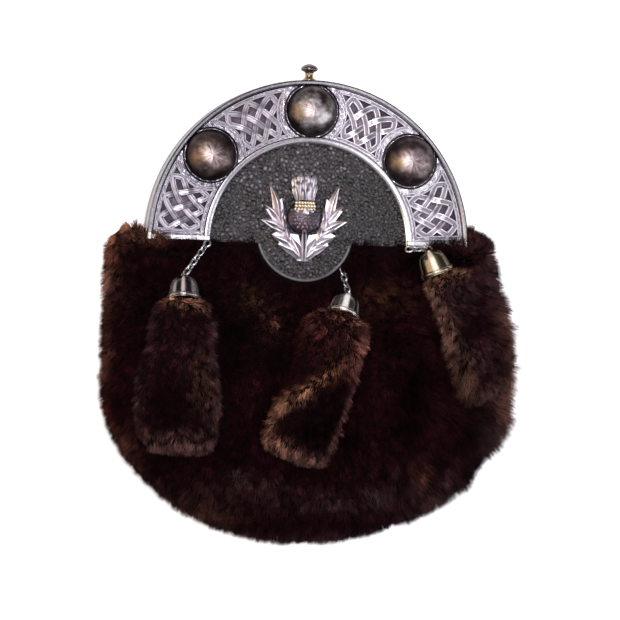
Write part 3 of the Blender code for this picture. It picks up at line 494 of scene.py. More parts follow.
def rim_material():
    """The cantle's rims: painted shade darkens the left side, and a dark line of painted shade runs
    along the outer edge, stronger on the right; a painted highlight pales the inner bead, most on
    the right and low down, and the rim near the ring's ends.
    """
    n = Nodes("silver_band")
    tint = n.mix(n.noise(180.0, 3.0), (0.43, 0.42, 0.44), (0.50, 0.49, 0.51))
    # The across ramp adds painted shade on the left and painted light on the right.
    tint = n.times(tint, n.across())
    reach = n.reach_from((0.0, 0.0, 0.0))[2]
    # A dark line of painted shade along the outer edge, stronger on the right.
    edge = n.range(reach, (RING_OUTER - 0.95) * MM, (RING_OUTER - 0.55) * MM, 0.0, 1.0)
    edge = n.math("MULTIPLY", edge, n.side(-50.0, 30.0, 0.3, 0.95))
    # A painted highlight on the inner bead, most on the right and low down, and on the rim near the
    # ring's ends.
    pale = n.math("MAXIMUM", n.side(0.0, 35.0, 0.0, 0.8), n.rise(12.0, 34.0, 0.26, 0.0))
    bead = n.math("MULTIPLY", n.range(reach, *BEAD_HIGHLIGHT_EDGE, 1.0, 0.0), pale)
    foot = n.rise(END_BAR, END_BAR + 0.8, 0.5, 0.0)
    tint = n.mix(n.math("MAXIMUM", bead, foot), tint, (0.88, 0.87, 0.90))
    n.set(Base_Color=n.mix(edge, tint, (0.035, 0.028, 0.036)), Metallic=1.0,
          Roughness=n.gloss(0.18, 0.34))
    return n.owner


def ground_material():
    """The dark ground of the panels."""
    n = Nodes("tarnished_ground")
    tint = n.ramp(n.noise(900.0, 4.0, 0.6), ((0.3, (0.055, 0.042, 0.058)),
                                             (0.75, (0.17, 0.14, 0.175))))
    n.set(Base_Color=tint, Metallic=0.7, Roughness=0.5, Normal=n.bump(n.noise(1500.0), 0.0002))
    return n.owner


def knob_material():
    """A dark head on a stem tinted warm, which paints a warm reflection."""
    n = Nodes("knob_metal")
    head = n.rise(RING_OUTER + 4.6, RING_OUTER + 5.4)
    # The stem's warm tint is a painted warm reflection.
    tint = n.mix(head, (0.46, 0.37, 0.23), (0.17, 0.145, 0.15))
    n.set(Base_Color=n.mix(n.noise(300.0), tint, (0.10, 0.085, 0.08)), Metallic=1.0,
          Roughness=n.gloss(0.14, 0.28))
    return n.owner


def dome_material(name, centre, warm, pale):
    """Dark nickel with a radial polish: streaks run out from the middle of the dome. Painted
    reflections colour it: warm and pale clouds, a warm painted reflection on its left, a pale
    painted highlight star in the middle, and painted shade darkening it towards its rim.
    """
    n = Nodes("dome_metal_" + name)
    offset, flat, reach = n.reach_from((*centre, PLATE_Z))
    split = n.node("ShaderNodeSeparateXYZ", {0: offset}).outputs
    angle = n.math("ARCTAN2", split["Y"], split["X"])
    ray = n.node("ShaderNodeCombineXYZ", {"X": n.math("SINE", angle), "Y": n.math("COSINE", angle),
                                          "Z": n.range(reach, 0.0, 0.013, 0.0, 0.35)})
    streak = n.noise(4.2, 2.0, 0.5, ray.outputs[0])
    cloud = n.noise(165.0, 4.0, 0.6)
    # The warm and pale clouds are painted reflections.
    inner = n.ramp(cloud, ((0.38, (0.060, 0.042, 0.048)), (0.5, warm), (0.64, pale)))
    # A warm painted reflection on the left of the dome, broken up by the clouds.
    patch = n.vector("DISTANCE", flat, (-0.0064, -0.0012, 0.0), output="Value")
    gilt = n.math("MULTIPLY", n.range(patch, 0.0012, 0.0052, 0.9, 0.0),
                  n.range(cloud, 0.35, 0.6, 0.2, 1.0))
    inner = n.mix(gilt, inner, (0.30, 0.215, 0.13))
    # A pale painted highlight star at the middle of the dome.
    star_highlight = n.math("MULTIPLY", n.range(reach, 0.0004, 0.0066, 1.0, 0.0),
                  n.range(streak, 0.42, 0.62, 0.0, 1.0))
    inner = n.mix(star_highlight, inner, (0.52, 0.45, 0.47))
    # Painted shade: the dome darkens towards its rim.
    edge = n.range(reach, 0.0080, 0.0126, 0.0, 1.0)
    n.set(Base_Color=n.mix(edge, inner, (0.020, 0.013, 0.018)), Metallic=1.0,
          Roughness=n.range(cloud, 0.3, 0.7, 0.36, 0.46),
          Normal=n.bump(streak, 0.0003, 0.08))
    return n.owner


def leather_material(name, colour, bump=0.00022, wear_and_painted_light=False):
    """Leather; with its painted light, the grain takes painted shade in its creases and painted
    highlights on its pebbles, and painted shade darkens it low down and on its right side.
    """
    n = Nodes(name)
    cells = n.node("ShaderNodeTexVoronoi", {"Vector": n.place(), "Scale": 1150.0}).outputs[0]
    fine = n.noise(2400.0, 3.0, 0.6)
    tone = n.ramp(n.noise(160.0, 3.0), ((0.3, tuple(c * 0.7 for c in colour)),
                                        (0.7, tuple(c * 1.35 for c in colour))))
    if wear_and_painted_light:
        # Painted shade in the creases and painted highlight specks on the pebbles, read from the
        # grain's painted shine.
        tone = n.times(tone, n.ramp(n.tone("Fac"), (
            (0.05, (0.20, 0.19, 0.20)), (0.33, (0.82, 0.81, 0.82)), (0.7, (4.9, 4.8, 4.9)),
            (1.0, (14.0, 13.5, 14.0)))))
        # Painted shade: darker low down.
        tone = n.times(tone, n.ramp(n.rise(18.0, 38.0), (
            (0.0, (0.60, 0.60, 0.63)), (1.0, (1.05, 1.04, 1.10)))))
        # Painted shade: darker on the right side.
        tone = n.times(tone, n.ramp(n.side(5.0, 40.0), (
            (0.0, (0.97, 0.97, 0.97)), (1.0, (0.42, 0.43, 0.46)))))
    n.set(Base_Color=tone, Roughness=n.range(fine, 0.3, 0.7, 0.22, 0.42),
          Normal=n.bump(n.math("ADD", cells, fine), bump), Specular_IOR_Level=0.5)
    return n.owner


def fur_material(name):
    """Hair takes its tone from the mesh, with finer streaks of its own."""
    n = Nodes(name)
    streak = n.ramp(n.noise(520.0, 3.0, 0.6), ((0.25, (0.55, 0.5, 0.52)), (0.75, (1.4, 1.35, 1.3))))
    fine = n.ramp(n.noise(1700.0, 2.0, 0.6), ((0.3, (0.55, 0.55, 0.55)), (0.7, (1.45, 1.45, 1.45))))
    n.set(Base_Color=n.times(n.times(n.tone(), streak), fine), Roughness=0.5,
          Specular_IOR_Level=0.015)
    return n.owner


def hide_material():
    """The skin that the hairs stand on."""
    n = Nodes("hide")
    tone = n.ramp(n.noise(300.0, 4.0, 0.6), ((0.3, (0.0020, 0.0006, 0.0009)),
                                             (0.75, (0.0060, 0.0022, 0.0028))))
    n.set(Base_Color=tone, Roughness=0.9, Specular_IOR_Level=0.03,
          Normal=n.bump(n.noise(900.0, 3.0), 0.0008))
    return n.owner


# ---------------------------------------------------------------- cantle

RING_STEPS = 150


def arc_sweep(section):
    """A section (radius, height) swept half round the cantle's centre."""
    return [[(*ring_point(180.0 * (step / RING_STEPS), r), z) for r, z in section]
            for step in range(RING_STEPS + 1)]


def bezel_half_angle(radius):
    """The angle that a dome's bezel and its margin take up at a radius of the ring."""
    reach = radius ** 2 + MIDDLE_RADIUS ** 2 - BEZEL_MARGIN ** 2
    return math.degrees(math.acos(reach / (2 * radius * MIDDLE_RADIUS)))


STOPS = (0.0, *sorted(DOME_ANGLES.values()), 180.0)
PANELS = tuple(zip(STOPS, STOPS[1:]))    # between the domes and the ring's ends, by angle


def panel_point(panel, u, v):
    """A point of a panel's lattice: u along the ring and v out from its centre."""
    radius = blend(PANEL_INNER, PANEL_OUTER, v / PANEL_ROWS)
    curve = bezel_half_angle(radius)
    start = panel[0] + (PANEL_END_ANGLE if panel[0] == STOPS[0] else curve)
    end = panel[1] - (PANEL_END_ANGLE if panel[1] == STOPS[-1] else curve)
    return Vector(ring_point(blend(start, end, u / PANEL_COLUMNS), radius))


def plait_walk():
    """The crossings that the plait's one strand visits, with its height at each."""
    u, v, du, dv = 1, 0, 1, 1
    stops = []
    while True:
        inside = 0 < u < 2 * PANEL_COLUMNS and 0 < v < 2 * PANEL_ROWS
        over = (du * dv > 0) == (u % 2 == 1)
        stops.append(((u / 2, v / 2), (1 if over else -1) if inside else 0))
        u, v = u + du, v + dv
        if u in (0, 2 * PANEL_COLUMNS):
            du = -du
        if v in (0, 2 * PANEL_ROWS):
            dv = -dv
        if (u, v, du, dv) == (1, 0, 1, 1):
            return stops


def strand_path(panel):
    """The strand's middle line: rounded where it turns, up and down at crossings."""
    stops = plait_walk()
    count = len(stops)
    path = []
    for k in range(count):
        before, here, after = stops[k - 1], stops[k], stops[(k + 1) % count]
        for step in range(BAND_STEPS):
            t = step / BAND_STEPS
            uv = []
            for a, b, c in zip(before[0], here[0], after[0]):
                bend = (1 - t) ** 2 * (a + b) / 2 + 2 * t * (1 - t) * b + t ** 2 * (b + c) / 2
                corner = (blend((a + b) / 2, b, 2 * t) if t < 0.5
                          else blend(b, (b + c) / 2, 2 * t - 1))
                uv.append(blend(corner, bend, TURN_ROUNDING))
            lift = here[1] * math.sin(math.pi * t) ** 2
            path.append(Vector((*panel_point(panel, *uv),
                                GROUND_Z + BAND_TOP + BAND_DIP * lift)))
    return path


RIDGES = (                       # a band's two raised edges: offset in half widths, height
    ((-1.0, -1.3), (-0.98, -0.35), (-0.84, 0.0), (-0.5, 0.0), (-0.34, -0.3), (-0.3, -1.3)),
    ((0.3, -1.3), (0.34, -0.3), (0.5, 0.0), (0.84, 0.0), (0.98, -0.35), (1.0, -1.3)),
)
CHANNEL = ((-0.36, -1.4), (-0.36, -0.55), (0.36, -0.55), (0.36, -1.4))


def sweep_path(shape, path, section, half):
    """Sweep a cast section along a closed path in the plane of the plate."""
    rings = []
    for k, point in enumerate(path):
        heading = (path[(k + 1) % len(path)] - path[k - 1]).xy.normalized()
        across = Vector((-heading.y, heading.x, 0.0))
        ring = []
        for offset, height in section:
            place = point + across * offset * half
            place.z = max(point.z + height, GROUND_Z - 0.15)
            ring.append(tuple(place))
        rings.append(ring)
    shape.rings(rings, closed=True)


def panel_border(panel, steps=30):
    """A raised line round the panel, just outside its interlace."""
    low, right, high = -BORDER_MARGIN, PANEL_COLUMNS + BORDER_MARGIN, PANEL_ROWS + BORDER_MARGIN
    corners = ((low, low), (right, low), (right, high), (low, high))
    path = []
    for k, corner in enumerate(corners):
        following = corners[(k + 1) % 4]
        for step in range(steps):
            t = (step + 0.5) / steps
            u, v = blend(corner[0], following[0], t), blend(corner[1], following[1], t)
            path.append(Vector((*panel_point(panel, u, v), PLATE_Z + 0.35)))
    return path


def slab(shape, outline, holes, low, high):
    """A flat plate between two heights, with an outline and holes in plan."""
    loops = [outline, *holes]
    points, edges = [], []
    for loop in loops:
        first = len(points)
        points += loop
        edges += [(first + i, first + (i + 1) % len(loop)) for i in range(len(loop))]
    flat, _, faces, *_ = delaunay_2d_cdt(points, edges, [], 1, 1e-5)
    middles = np.array([tuple(sum((flat[i] for i in face), Vector((0, 0))) / 3)
                        for face in faces])
    solid = inside_outline(middles, outline)
    for hole in holes:
        solid &= ~inside_outline(middles, hole)
    faces = [tuple(face) for face, kept in zip(faces, solid) if kept]
    count = len(flat)
    walls = [(a, b, count + b, count + a) for a, b in edges]
    shape.add([(*p, z) for z in (low, high) for p in flat],
              [tuple(i + count for i in f) for f in faces] + [f[::-1] for f in faces] + walls)


PLATE_EDGE = (53.3, 78.5)       # the plate round the panels, from radius to radius
PLATE_ENDS = (1.2, 178.8)       # and from angle to angle


def build_cantle():
    band = rim_material()
    build_ring(band)
    build_panels()
    build_trim(band)


def build_ring(band):
    """The cast half ring with its moulded rims, and its side wall."""
    Shape().rings(arc_sweep((
        (RING_OUTER - 0.05, 23.2), (RING_OUTER, RIM_Z - 1.1), (RING_OUTER - 0.25, RIM_Z - 0.4),
        (RING_OUTER - 0.8, RIM_Z), (79.7, RIM_Z), (79.2, RIM_Z - 0.35), (78.7, PLATE_Z),
        (78.2, GROUND_Z), (53.4, GROUND_Z), (53.1, 25.0), (52.7, BEAD_Z - 0.15),
        (52.2, BEAD_Z), (50.9, BEAD_Z - 0.1), (50.2, BEAD_Z - 0.5),
        (RING_INNER, 24.9), (RING_INNER, PLATE_BACK_Z), (RING_OUTER - 0.3, PLATE_BACK_Z)))
    ).piece("cantle_shell", band, 32.0, ["cantle"])
    satin = plain_silver_material("wall_silver", (0.25, 0.26, 0.30), 0.26, 0.4)
    Shape().rings(arc_sweep((
        (RING_OUTER - 0.15, WALL_FOOT_Z), (RING_OUTER, WALL_FOOT_Z + 0.3),
        (RING_OUTER, 12.6), (RING_OUTER - 0.35, 13.1), (RING_OUTER - 0.35, 22.5),
        (RING_OUTER - 0.1, 22.9), (RING_OUTER - 0.1, 23.3), (80.0, 23.3),
        (80.0, WALL_FOOT_Z)))
    ).piece("cantle_wall", satin, 32.0)


def build_panels():
    """The plate, the sunk grounds of its panels and their interlace."""
    floor, plate = Shape(), Shape()
    half_ring = [Vector(ring_point(a, PLATE_EDGE[1])) for a in np.linspace(*PLATE_ENDS, 121)]
    half_ring += [Vector(ring_point(a, PLATE_EDGE[0])) for a in np.linspace(*PLATE_ENDS[::-1], 91)]
    borders = [[p.xy for p in panel_border(panel)] for panel in PANELS]
    for border in borders:
        slab(floor, border, [], GROUND_Z - 0.2, GROUND_Z + 0.06)
    slab(plate, half_ring, borders, GROUND_Z - 0.3, PLATE_Z - 0.1)
    floor.piece("cantle_ground", ground_material())
    plate.piece("cantle_plate", plate_material(), 40.0)
    knot, channels = Shape(), Shape()
    for panel in PANELS:
        for path, half in ((strand_path(panel), BAND_HALF), (panel_border(panel), BORDER_HALF)):
            for ridge in RIDGES:
                sweep_path(knot, path, ridge, half)
            sweep_path(channels, path, CHANNEL, half)
    silver = silver_material("silver", (0.10, 0.085, 0.105), (0.62, 0.61, 0.63))
    knot.piece("cantle_interlace", silver, 38.0)
    tarnish = plain_silver_material("silver_tarnish", (0.25, 0.225, 0.26), 0.26, 0.4)
    channels.piece("cantle_channels", tarnish, 38.0)


def build_trim(band):
    """The bars at the ring's ends, the lugs of the chains and the domes' bezels."""
    trim = Shape()
    y, width, height = END_BAR / 2 - 0.1, END_BAR / 2 + 0.1, BEAD_Z + 0.4
    low, high = RING_INNER + 0.1, RING_OUTER - 0.4
    for side in (-1, 1):
        rings = []
        for x in (low, low + 0.4, high - 0.4, high):
            inset = 0.35 if x in (low, high) else 0.0
            rings.append([(side * x, y + a * (width - inset), b) for a, b in (
                (-1, PLATE_BACK_Z), (-1, height - 0.5 - inset), (-0.7, height - inset),
                (0.7, height - inset), (1, height - 0.5 - inset), (1, PLATE_BACK_Z))])
        trim.rings(rings)
    profile = ((BEZEL_INNER, GROUND_Z - 0.1), (BEZEL_OUTER + 0.1, GROUND_Z - 0.1),
               (BEZEL_OUTER, BEZEL_Z - 0.5), (BEZEL_OUTER - 0.3, BEZEL_Z - 0.12),
               (BEZEL_OUTER - 0.6, BEZEL_Z), (BEZEL_INNER + 0.35, BEZEL_Z - 0.1),
               (BEZEL_INNER, BEZEL_Z - 0.5))
    bezels = Shape()
    for angle in DOME_ANGLES.values():
        centre = ring_point(angle, MIDDLE_RADIUS)
        bezels.turned(profile, 96, Matrix.Translation((*centre, 0.0)))
    # The bezels are coloured near black to paint the shade in the gap round each dome.
    bezel_shade_metal = plain_silver_material("bezel_painted_shade", (0.060, 0.045, 0.052), 0.26, 0.42)
    bezels.piece("dome_bezels", bezel_shade_metal, 40.0, slot="dome_metal")
    width = 2 * LUG_RADIUS + WIRE
    for name, centre in LUGS.items():
        heading = along(chain_run(name)["heading"], -CHAINS[name]["roll"])
        add_link(trim, width, width, Matrix.Translation(centre) @ heading)
    trim.piece("cantle_trim", band, 40.0)


DOME_REFLECTION_COLOURS = {                 # the warm and the pale painted reflections of each dome, lightest on the top one
    "left": ((0.092, 0.066, 0.058), (0.22, 0.17, 0.165)),
    "top": ((0.19, 0.165, 0.155), (0.45, 0.44, 0.46)),
    "right": ((0.125, 0.092, 0.086), (0.28, 0.235, 0.25)),
}


def build_domes():
    foot, edge = PLATE_Z + 0.2, PLATE_Z + 0.5
    crown = [(DOME_RADIUS * math.cos(t), edge + (DOME_HEIGHT - 0.3) * math.sin(t))
             for t in (math.radians(3.0 * i) for i in range(1, 30))]
    profile = [(0.0, foot), (DOME_RADIUS - 0.35, foot), (DOME_RADIUS, edge), *crown,
               (0.0, foot + DOME_HEIGHT)]
    for name, angle in DOME_ANGLES.items():
        centre = ring_point(angle, MIDDLE_RADIUS)
        dome = Shape().turned(profile, 72, Matrix.Translation((*centre, 0.0)))
        metal = dome_material(name, centre, *DOME_REFLECTION_COLOURS[name])
        dome.piece("polished_dome_" + name, metal, 50.0, ["dome_" + name], slot="dome_metal")


def build_knob():
    profile = ((0.0, 0.0), (3.2, 0.0), (3.3, 0.3), (3.2, 0.7), (2.6, 1.1), (2.2, 1.7),
               (2.0, 2.5), (2.0, 3.4), (2.2, 4.0), (2.8, 4.5), (3.7, 4.8), (4.2, 5.2),
               (4.35, 5.8), (4.25, 6.4), (3.8, 7.0), (3.0, 7.6), (2.0, 8.1), (1.0, 8.4),
               (0.0, 8.5))
    place = (Matrix.Translation((0.0, RING_OUTER + 0.3, 15.0))
             @ Matrix.Rotation(-math.pi / 2, 4, "X"))
    knob = Shape().turned(profile, 48, place)
    knob.piece("knob", knob_material(), 50.0, ["top_knob"], slot="knob_metal")


# ---------------------------------------------------------------- leather

def tongue_arc(radius, steps):
    """The tongue's round edge, from its right end to its left end."""
    drop = math.degrees(math.asin((TONGUE_Y - FRONT_BASE_Y) / TONGUE_RADIUS))
    angles = [math.radians(blend(-drop, drop - 180.0, i / steps)) for i in range(steps + 1)]
    return [Vector((TONGUE_X + radius * math.cos(t), TONGUE_Y + radius * math.sin(t)))
            for t in angles]


def front_outline():
    """Round the half disc, down the left step, round the tongue and up the right step."""
    arch = [Vector(ring_point(180.0 * i / 90, FRONT_RADIUS)) for i in range(91)]
    left, right = ([Vector((x, 0.0)), Vector((x, FRONT_BASE_Y))]
                   for x in (-FRONT_BASE_X, FRONT_BASE_X))
    return arch + left + tongue_arc(TONGUE_RADIUS, 48)[::-1] + right[::-1]


def tongue_lift(y):
    """How far the tongue bends up over the fur towards its tip."""
    tip = TONGUE_Y - TONGUE_RADIUS
    return TONGUE_RISE * np.maximum((TONGUE_BEND_Y - y) / (TONGUE_BEND_Y - tip), 0.0) ** 2


def pebbles(points, spacing, seed):
    """A pebbled grain: height of rounded cells with creases between them, and their painted shine,
    which paints shade in the creases and highlights on some pebbles.
    """
    cell = np.floor(points / spacing).astype(int)
    nearest = np.full((len(points), 2), 1e9)
    shine = np.zeros(len(points))
    for dx in (-1, 0, 1):
        for dy in (-1, 0, 1):
            key = cell + (dx, dy)
            mixed = (key[:, 0] * 73856093) ^ (key[:, 1] * 19349663) ^ (seed * 83492791)
            jitter = np.stack([(mixed % 9973) / 9973.0, (mixed // 7 % 9967) / 9967.0], 1)
            gap = np.linalg.norm((key + 0.05 + 0.9 * jitter) * spacing - points, axis=1)
            shine = np.where(gap < nearest[:, 0], mixed // 11 % 997 / 997.0, shine)
            far = np.maximum(nearest[:, 0], gap)
            nearest[:, 0] = np.minimum(nearest[:, 0], gap)
            nearest[:, 1] = np.minimum(nearest[:, 1], far)
    crease = smooth((nearest[:, 1] - nearest[:, 0]) / (0.42 * spacing))
    shine = 0.5 * crease + shine ** 1.7 * smooth(1.2 - 1.6 * nearest[:, 0] / spacing)
    return crease * (1.0 - 0.35 * (nearest[:, 0] / spacing) ** 2), shine


def inside_outline(points, outline):
    """Whether points lie in a closed outline, by counting the edges that they see."""
    x, y = points[:, 0], points[:, 1]
    inside = np.zeros(len(points), bool)
    for a, b in zip(outline, outline[1:] + outline[:1]):
        if a.y == b.y:
            continue
        crosses = (a.y > y) != (b.y > y)
        inside ^= crosses & (x < a.x + (y - a.y) * (b.x - a.x) / (b.y - a.y))
    return inside


def build_front_leather():
    """The front leather: pebbled where it shows, with a rolled edge round the tongue."""
    outline = front_outline()
    gap = 0.5
    xs, ys = np.meshgrid(np.arange(-RING_INNER - 1, RING_INNER + 1, gap),
                         np.arange(TONGUE_Y - TONGUE_RADIUS, RING_INNER + 1, gap * 0.866))
    xs[::2] += gap / 2
    grid = np.stack([xs.ravel(), ys.ravel()], 1)
    shrunk = [p * 0.996 for p in outline]
    grid = grid[inside_outline(grid, shrunk) & (np.hypot(*grid.T) < RING_INNER + 1.0)]
    count = len(outline)
    edges = [(i, (i + 1) % count) for i in range(count)]
    points = outline + [Vector(p) for p in grid]
    verts, _, faces, *_ = delaunay_2d_cdt(points, edges, [], 1, 1e-5)
    flat = np.array([tuple(v) for v in verts])
    rim = 1.0 - smooth((edge_distance(flat) - 0.2) / 1.4)
    grain, shine = pebbles(flat, PEBBLE, 3)
    top = (FRONT_Z + tongue_lift(flat[:, 1]) - 0.5 * rim
           + PEBBLE_HEIGHT * (grain - 1.0) * (1.0 - rim))
    high = np.column_stack([flat, top])
    low = np.column_stack([flat[:count], FRONT_BACK_Z + tongue_lift(flat[:count, 1])])
    shape = Shape()
    walls = [(i, (i + 1) % count, len(flat) + (i + 1) % count, len(flat) + i)
             for i in range(count)]
    back = [tuple(len(flat) + i for i in reversed(range(count)))]
    shape.add(np.vstack([high, low]), [tuple(f) for f in faces] + walls + back)
    leather = leather_material("pebbled_leather", (0.0145, 0.0132, 0.0148), wear_and_painted_light=True)
    panel = shape.piece("front_panel", leather, 60.0, ["front_leather"], slot="black_leather")
    # The grain's painted shine goes on the vertices, for the leather's colour to read.
    wear_and_painted_light = np.full((len(panel.vertices), 1), 0.5)
    wear_and_painted_light[:len(flat)] = shine[:, None] / 1.5
    add_tones(panel, wear_and_painted_light)
    welt = Shape()
    rings = []
    for point in tongue_arc(TONGUE_RADIUS - 0.75, 72):
        out = Vector((point.x - TONGUE_X, point.y - TONGUE_Y)).normalized()
        z = FRONT_Z - 0.15 + float(tongue_lift(point.y))
        rings.append([(point.x + out.x * 0.8 * math.cos(t), point.y + out.y * 0.8 * math.cos(t),
                       z + 0.75 * math.sin(t)) for t in np.arange(10) * math.tau / 10])
    welt.rings(rings)
    rolled = leather_material("rolled_leather", (0.075, 0.075, 0.078), 0.0001)
    welt.piece("tongue_welt", rolled, 60.0, slot="black_leather")


def edge_distance(points):
    """Distance in from the tongue's edge, and large elsewhere."""
    away = np.hypot(points[:, 0] - TONGUE_X, points[:, 1] - TONGUE_Y)
    return np.where(points[:, 1] < FRONT_BASE_Y, TONGUE_RADIUS - away, 9.0)


# ---------------------------------------------------------------- badge

# Along a lobe: the share of its length, of its width and of its height
LOBE_OUTLINE = ((0.0, 0.55, 0.5), (0.18, 0.9, 0.85), (0.38, 1.0, 1.0), (0.6, 0.78, 0.9),
                (0.8, 0.45, 0.62), (0.93, 0.2, 0.34), (1.0, 0.04, 0.12))
TUFT_OUTLINE = ((0.0, 0.6, 0.5), (0.25, 0.8, 0.85), (0.5, 0.95, 1.0), (0.75, 1.0, 0.95),
                (0.9, 0.72, 0.7), (0.97, 0.4, 0.4), (1.0, 0.12, 0.15))
LOBE_SECTION = ((-1.0, 0.0), (-1.0, 0.3), (-0.62, 0.5), (-0.12, 1.0), (0.12, 1.0),
                (0.62, 0.5), (1.0, 0.3), (1.0, 0.0))


def add_lobe(shape, base, tip, width, height, place, lift=0.0, bend=0.0, outline=LOBE_OUTLINE):
    """A leaf lobe with a ridge down its middle, flat underneath."""
    base, tip = Vector(base), Vector(tip)
    heading = tip - base
    across = Vector((-heading.y, heading.x)).normalized()
    rings = []
    for share, wide, tall in outline:
        middle = base + heading * share + across * bend * math.sin(math.pi * share)
        half, top = width / 2 * wide, height * tall
        rings.append([(*(middle + across * half * offset), lift + z * top)
                      for offset, z in LOBE_SECTION])
    shape.rings(rings, place)


LEAF_BODY = (                    # outline of the cast leaf under its lobes, right side
    (0.7, -9.0), (2.4, -7.2), (5.4, -3.8), (8.4, -3.2), (12.8, -1.0), (11.2, 1.4), (16.2, 3.8),
    (13.4, 5.4), (21.8, 10.9), (15.9, 11.3), (19.6, 16.4), (15.8, 17.0), (17.4, 27.6),
    (13.0, 20.6), (11.4, 22.2), (10.5, 16.0), (9.5, 12.0), (9.3, 8.5), (6.7, 4.5), (2.7, 3.9),
    (1.3, -1.0),
)
LEAF_LOBES = (                   # right leaf, from the stem up: base, tip, width, height, bend
    ((0.2, -8.2), (9.6, 2.4), 4.6, 2.2, 0.8),
    ((2.6, -5.4), (12.8, -1.0), 4.8, 2.0, -0.4),
    ((5.2, -1.6), (15.8, 3.0), 5.0, 2.3, -0.6),
    ((7.6, 1.4), (9.0, 8.6), 4.0, 2.4, 0.4),
    ((8.6, 4.0), (17.2, 7.4), 3.6, 2.2, -0.4),
    ((10.0, 6.2), (22.4, 11.4), 4.2, 2.4, -0.8),
    ((10.2, 6.0), (10.8, 14.6), 4.4, 2.6, 0.5),
    ((11.6, 10.0), (20.4, 18.8), 4.0, 2.4, -0.8),
    ((11.4, 11.0), (10.0, 18.2), 3.2, 2.2, 0.3),
    ((12.6, 13.0), (18.0, 29.4), 4.0, 2.6, -0.9),
    ((13.6, 15.6), (14.0, 22.8), 2.6, 1.9, 0.2),
)
TUFT_LOBES = (                   # from the back to the front: base x, tip x, reach, width, lift
    (-3.4, -5.2, 11.2, 3.5, 0.4),
    (-1.5, -2.2, 13.2, 3.7, 0.7),
    (1.4, 1.7, 12.6, 3.5, 0.5),
    (3.4, 5.2, 12.0, 3.6, 0.4),
    (-3.6, -5.4, 6.6, 3.0, 1.7),
    (-1.9, -3.0, 8.6, 3.1, 2.3),
    (0.4, -0.2, 9.8, 2.9, 2.6),
    (2.4, 2.6, 7.8, 3.1, 2.3),
    (3.9, 5.6, 7.4, 2.9, 1.7),
    (-1.2, -1.5, 4.4, 2.7, 3.4),
    (1.3, 1.5, 4.8, 2.7, 3.4),
)
BADGE_LEVEL = Matrix.Translation((BADGE_X, 0.0, FRONT_Z + 0.25))
GLOBE_Y = 12.9
GLOBE_RADIUS = 8.5
MIDDLE_ROW_Y = 18.4              # of the band's beads, which stand between the other rows' beads


def build_badge():
    bright = silver_material("badge_silver", (0.24, 0.21, 0.25), (0.93, 0.90, 0.95), 0.75)
    build_leaves(bright)
    build_tuft()
    build_globe()
    build_band()
    build_drops(bright)


def build_leaves(bright):
    leaves, level = Shape(), BADGE_LEVEL
    for side in (-1, 1):
        body = [Vector((side * x + BADGE_X, y)) for x, y in LEAF_BODY]
        slab(leaves, body, [], FRONT_Z + 0.25, FRONT_Z + 1.6)
        for base, tip, width, height, bend in LEAF_LOBES:
            mirrored = [(side * p[0], p[1]) for p in (base, tip)]
            add_lobe(leaves, *mirrored, width, height, level, 0.5, -side * bend)
        add_lobe(leaves, (side * 1.2, -7.4), (side * 6.8, 3.6), 5.0, 2.4, level, 0.6)
        add_lobe(leaves, (side * 2.0, -4.6), (side * 11.0, 1.8), 5.0, 2.2, level, 0.5)
        add_lobe(leaves, (side * 0.65, -9.4), (side * 0.85, 7.4), 1.4, 1.5, level, 2.9)
    add_lobe(leaves, (-3.2, -8.9), (3.6, -9.3), 1.8, 1.4, level, 0.6, 0.4)
    leaves.piece("badge_leaves", bright, 28.0, ["thistle_badge"])


def build_tuft():
    tuft = Shape()
    for base_x, tip_x, reach, width, lift in TUFT_LOBES:
        add_lobe(tuft, (base_x, 21.4), (tip_x, 22.2 + reach), width, 2.3, BADGE_LEVEL, lift, 0.3,
                 TUFT_OUTLINE)
    pale = silver_material("tuft_silver", (0.11, 0.095, 0.12), (1.0, 0.98, 1.0))
    tuft.piece("badge_tuft", pale, 28.0)


def build_band():
    """Three rows of beads at the foot of the tuft."""
    band = Shape()
    for y, width, tall in ((16.8, 10.8, 4.5), (MIDDLE_ROW_Y, 10.6, 4.6), (20.0, 10.0, 4.3)):
        for x in np.linspace(-0.86, 0.86, 7):
            high = tall * math.sqrt(1.0 - (0.8 * x) ** 2)
            centre_x = x * width / 2 + (0.25 if y == MIDDLE_ROW_Y else 0.0)
            bead = [(0.0, 0.0), (0.95, 0.0), (0.95, high), (0.82, high + 0.35),
                    (0.5, high + 0.62), (0.0, high + 0.72)]
            band.turned(bead, 12, BADGE_LEVEL @ Matrix.Translation((centre_x, y, 0.0)))
    gold = plain_silver_material("badge_gold", (0.66, 0.58, 0.44), 0.25, 0.42)
    band.piece("badge_band", gold, 50.0)


def build_drops(bright):
    """Three lobes that hang from the band over the globe."""
    drops, level = Shape(), BADGE_LEVEL
    add_lobe(drops, (0.4, 17.2), (0.4, 13.8), 3.0, 1.0, level, 4.9, 0.0, TUFT_OUTLINE)
    for side in (-1, 1):
        add_lobe(drops, (side * 3.4, 16.4), (side * 3.6, 14.4), 1.8, 0.8, level, 4.0)
    drops.piece("badge_drops", bright, 30.0)


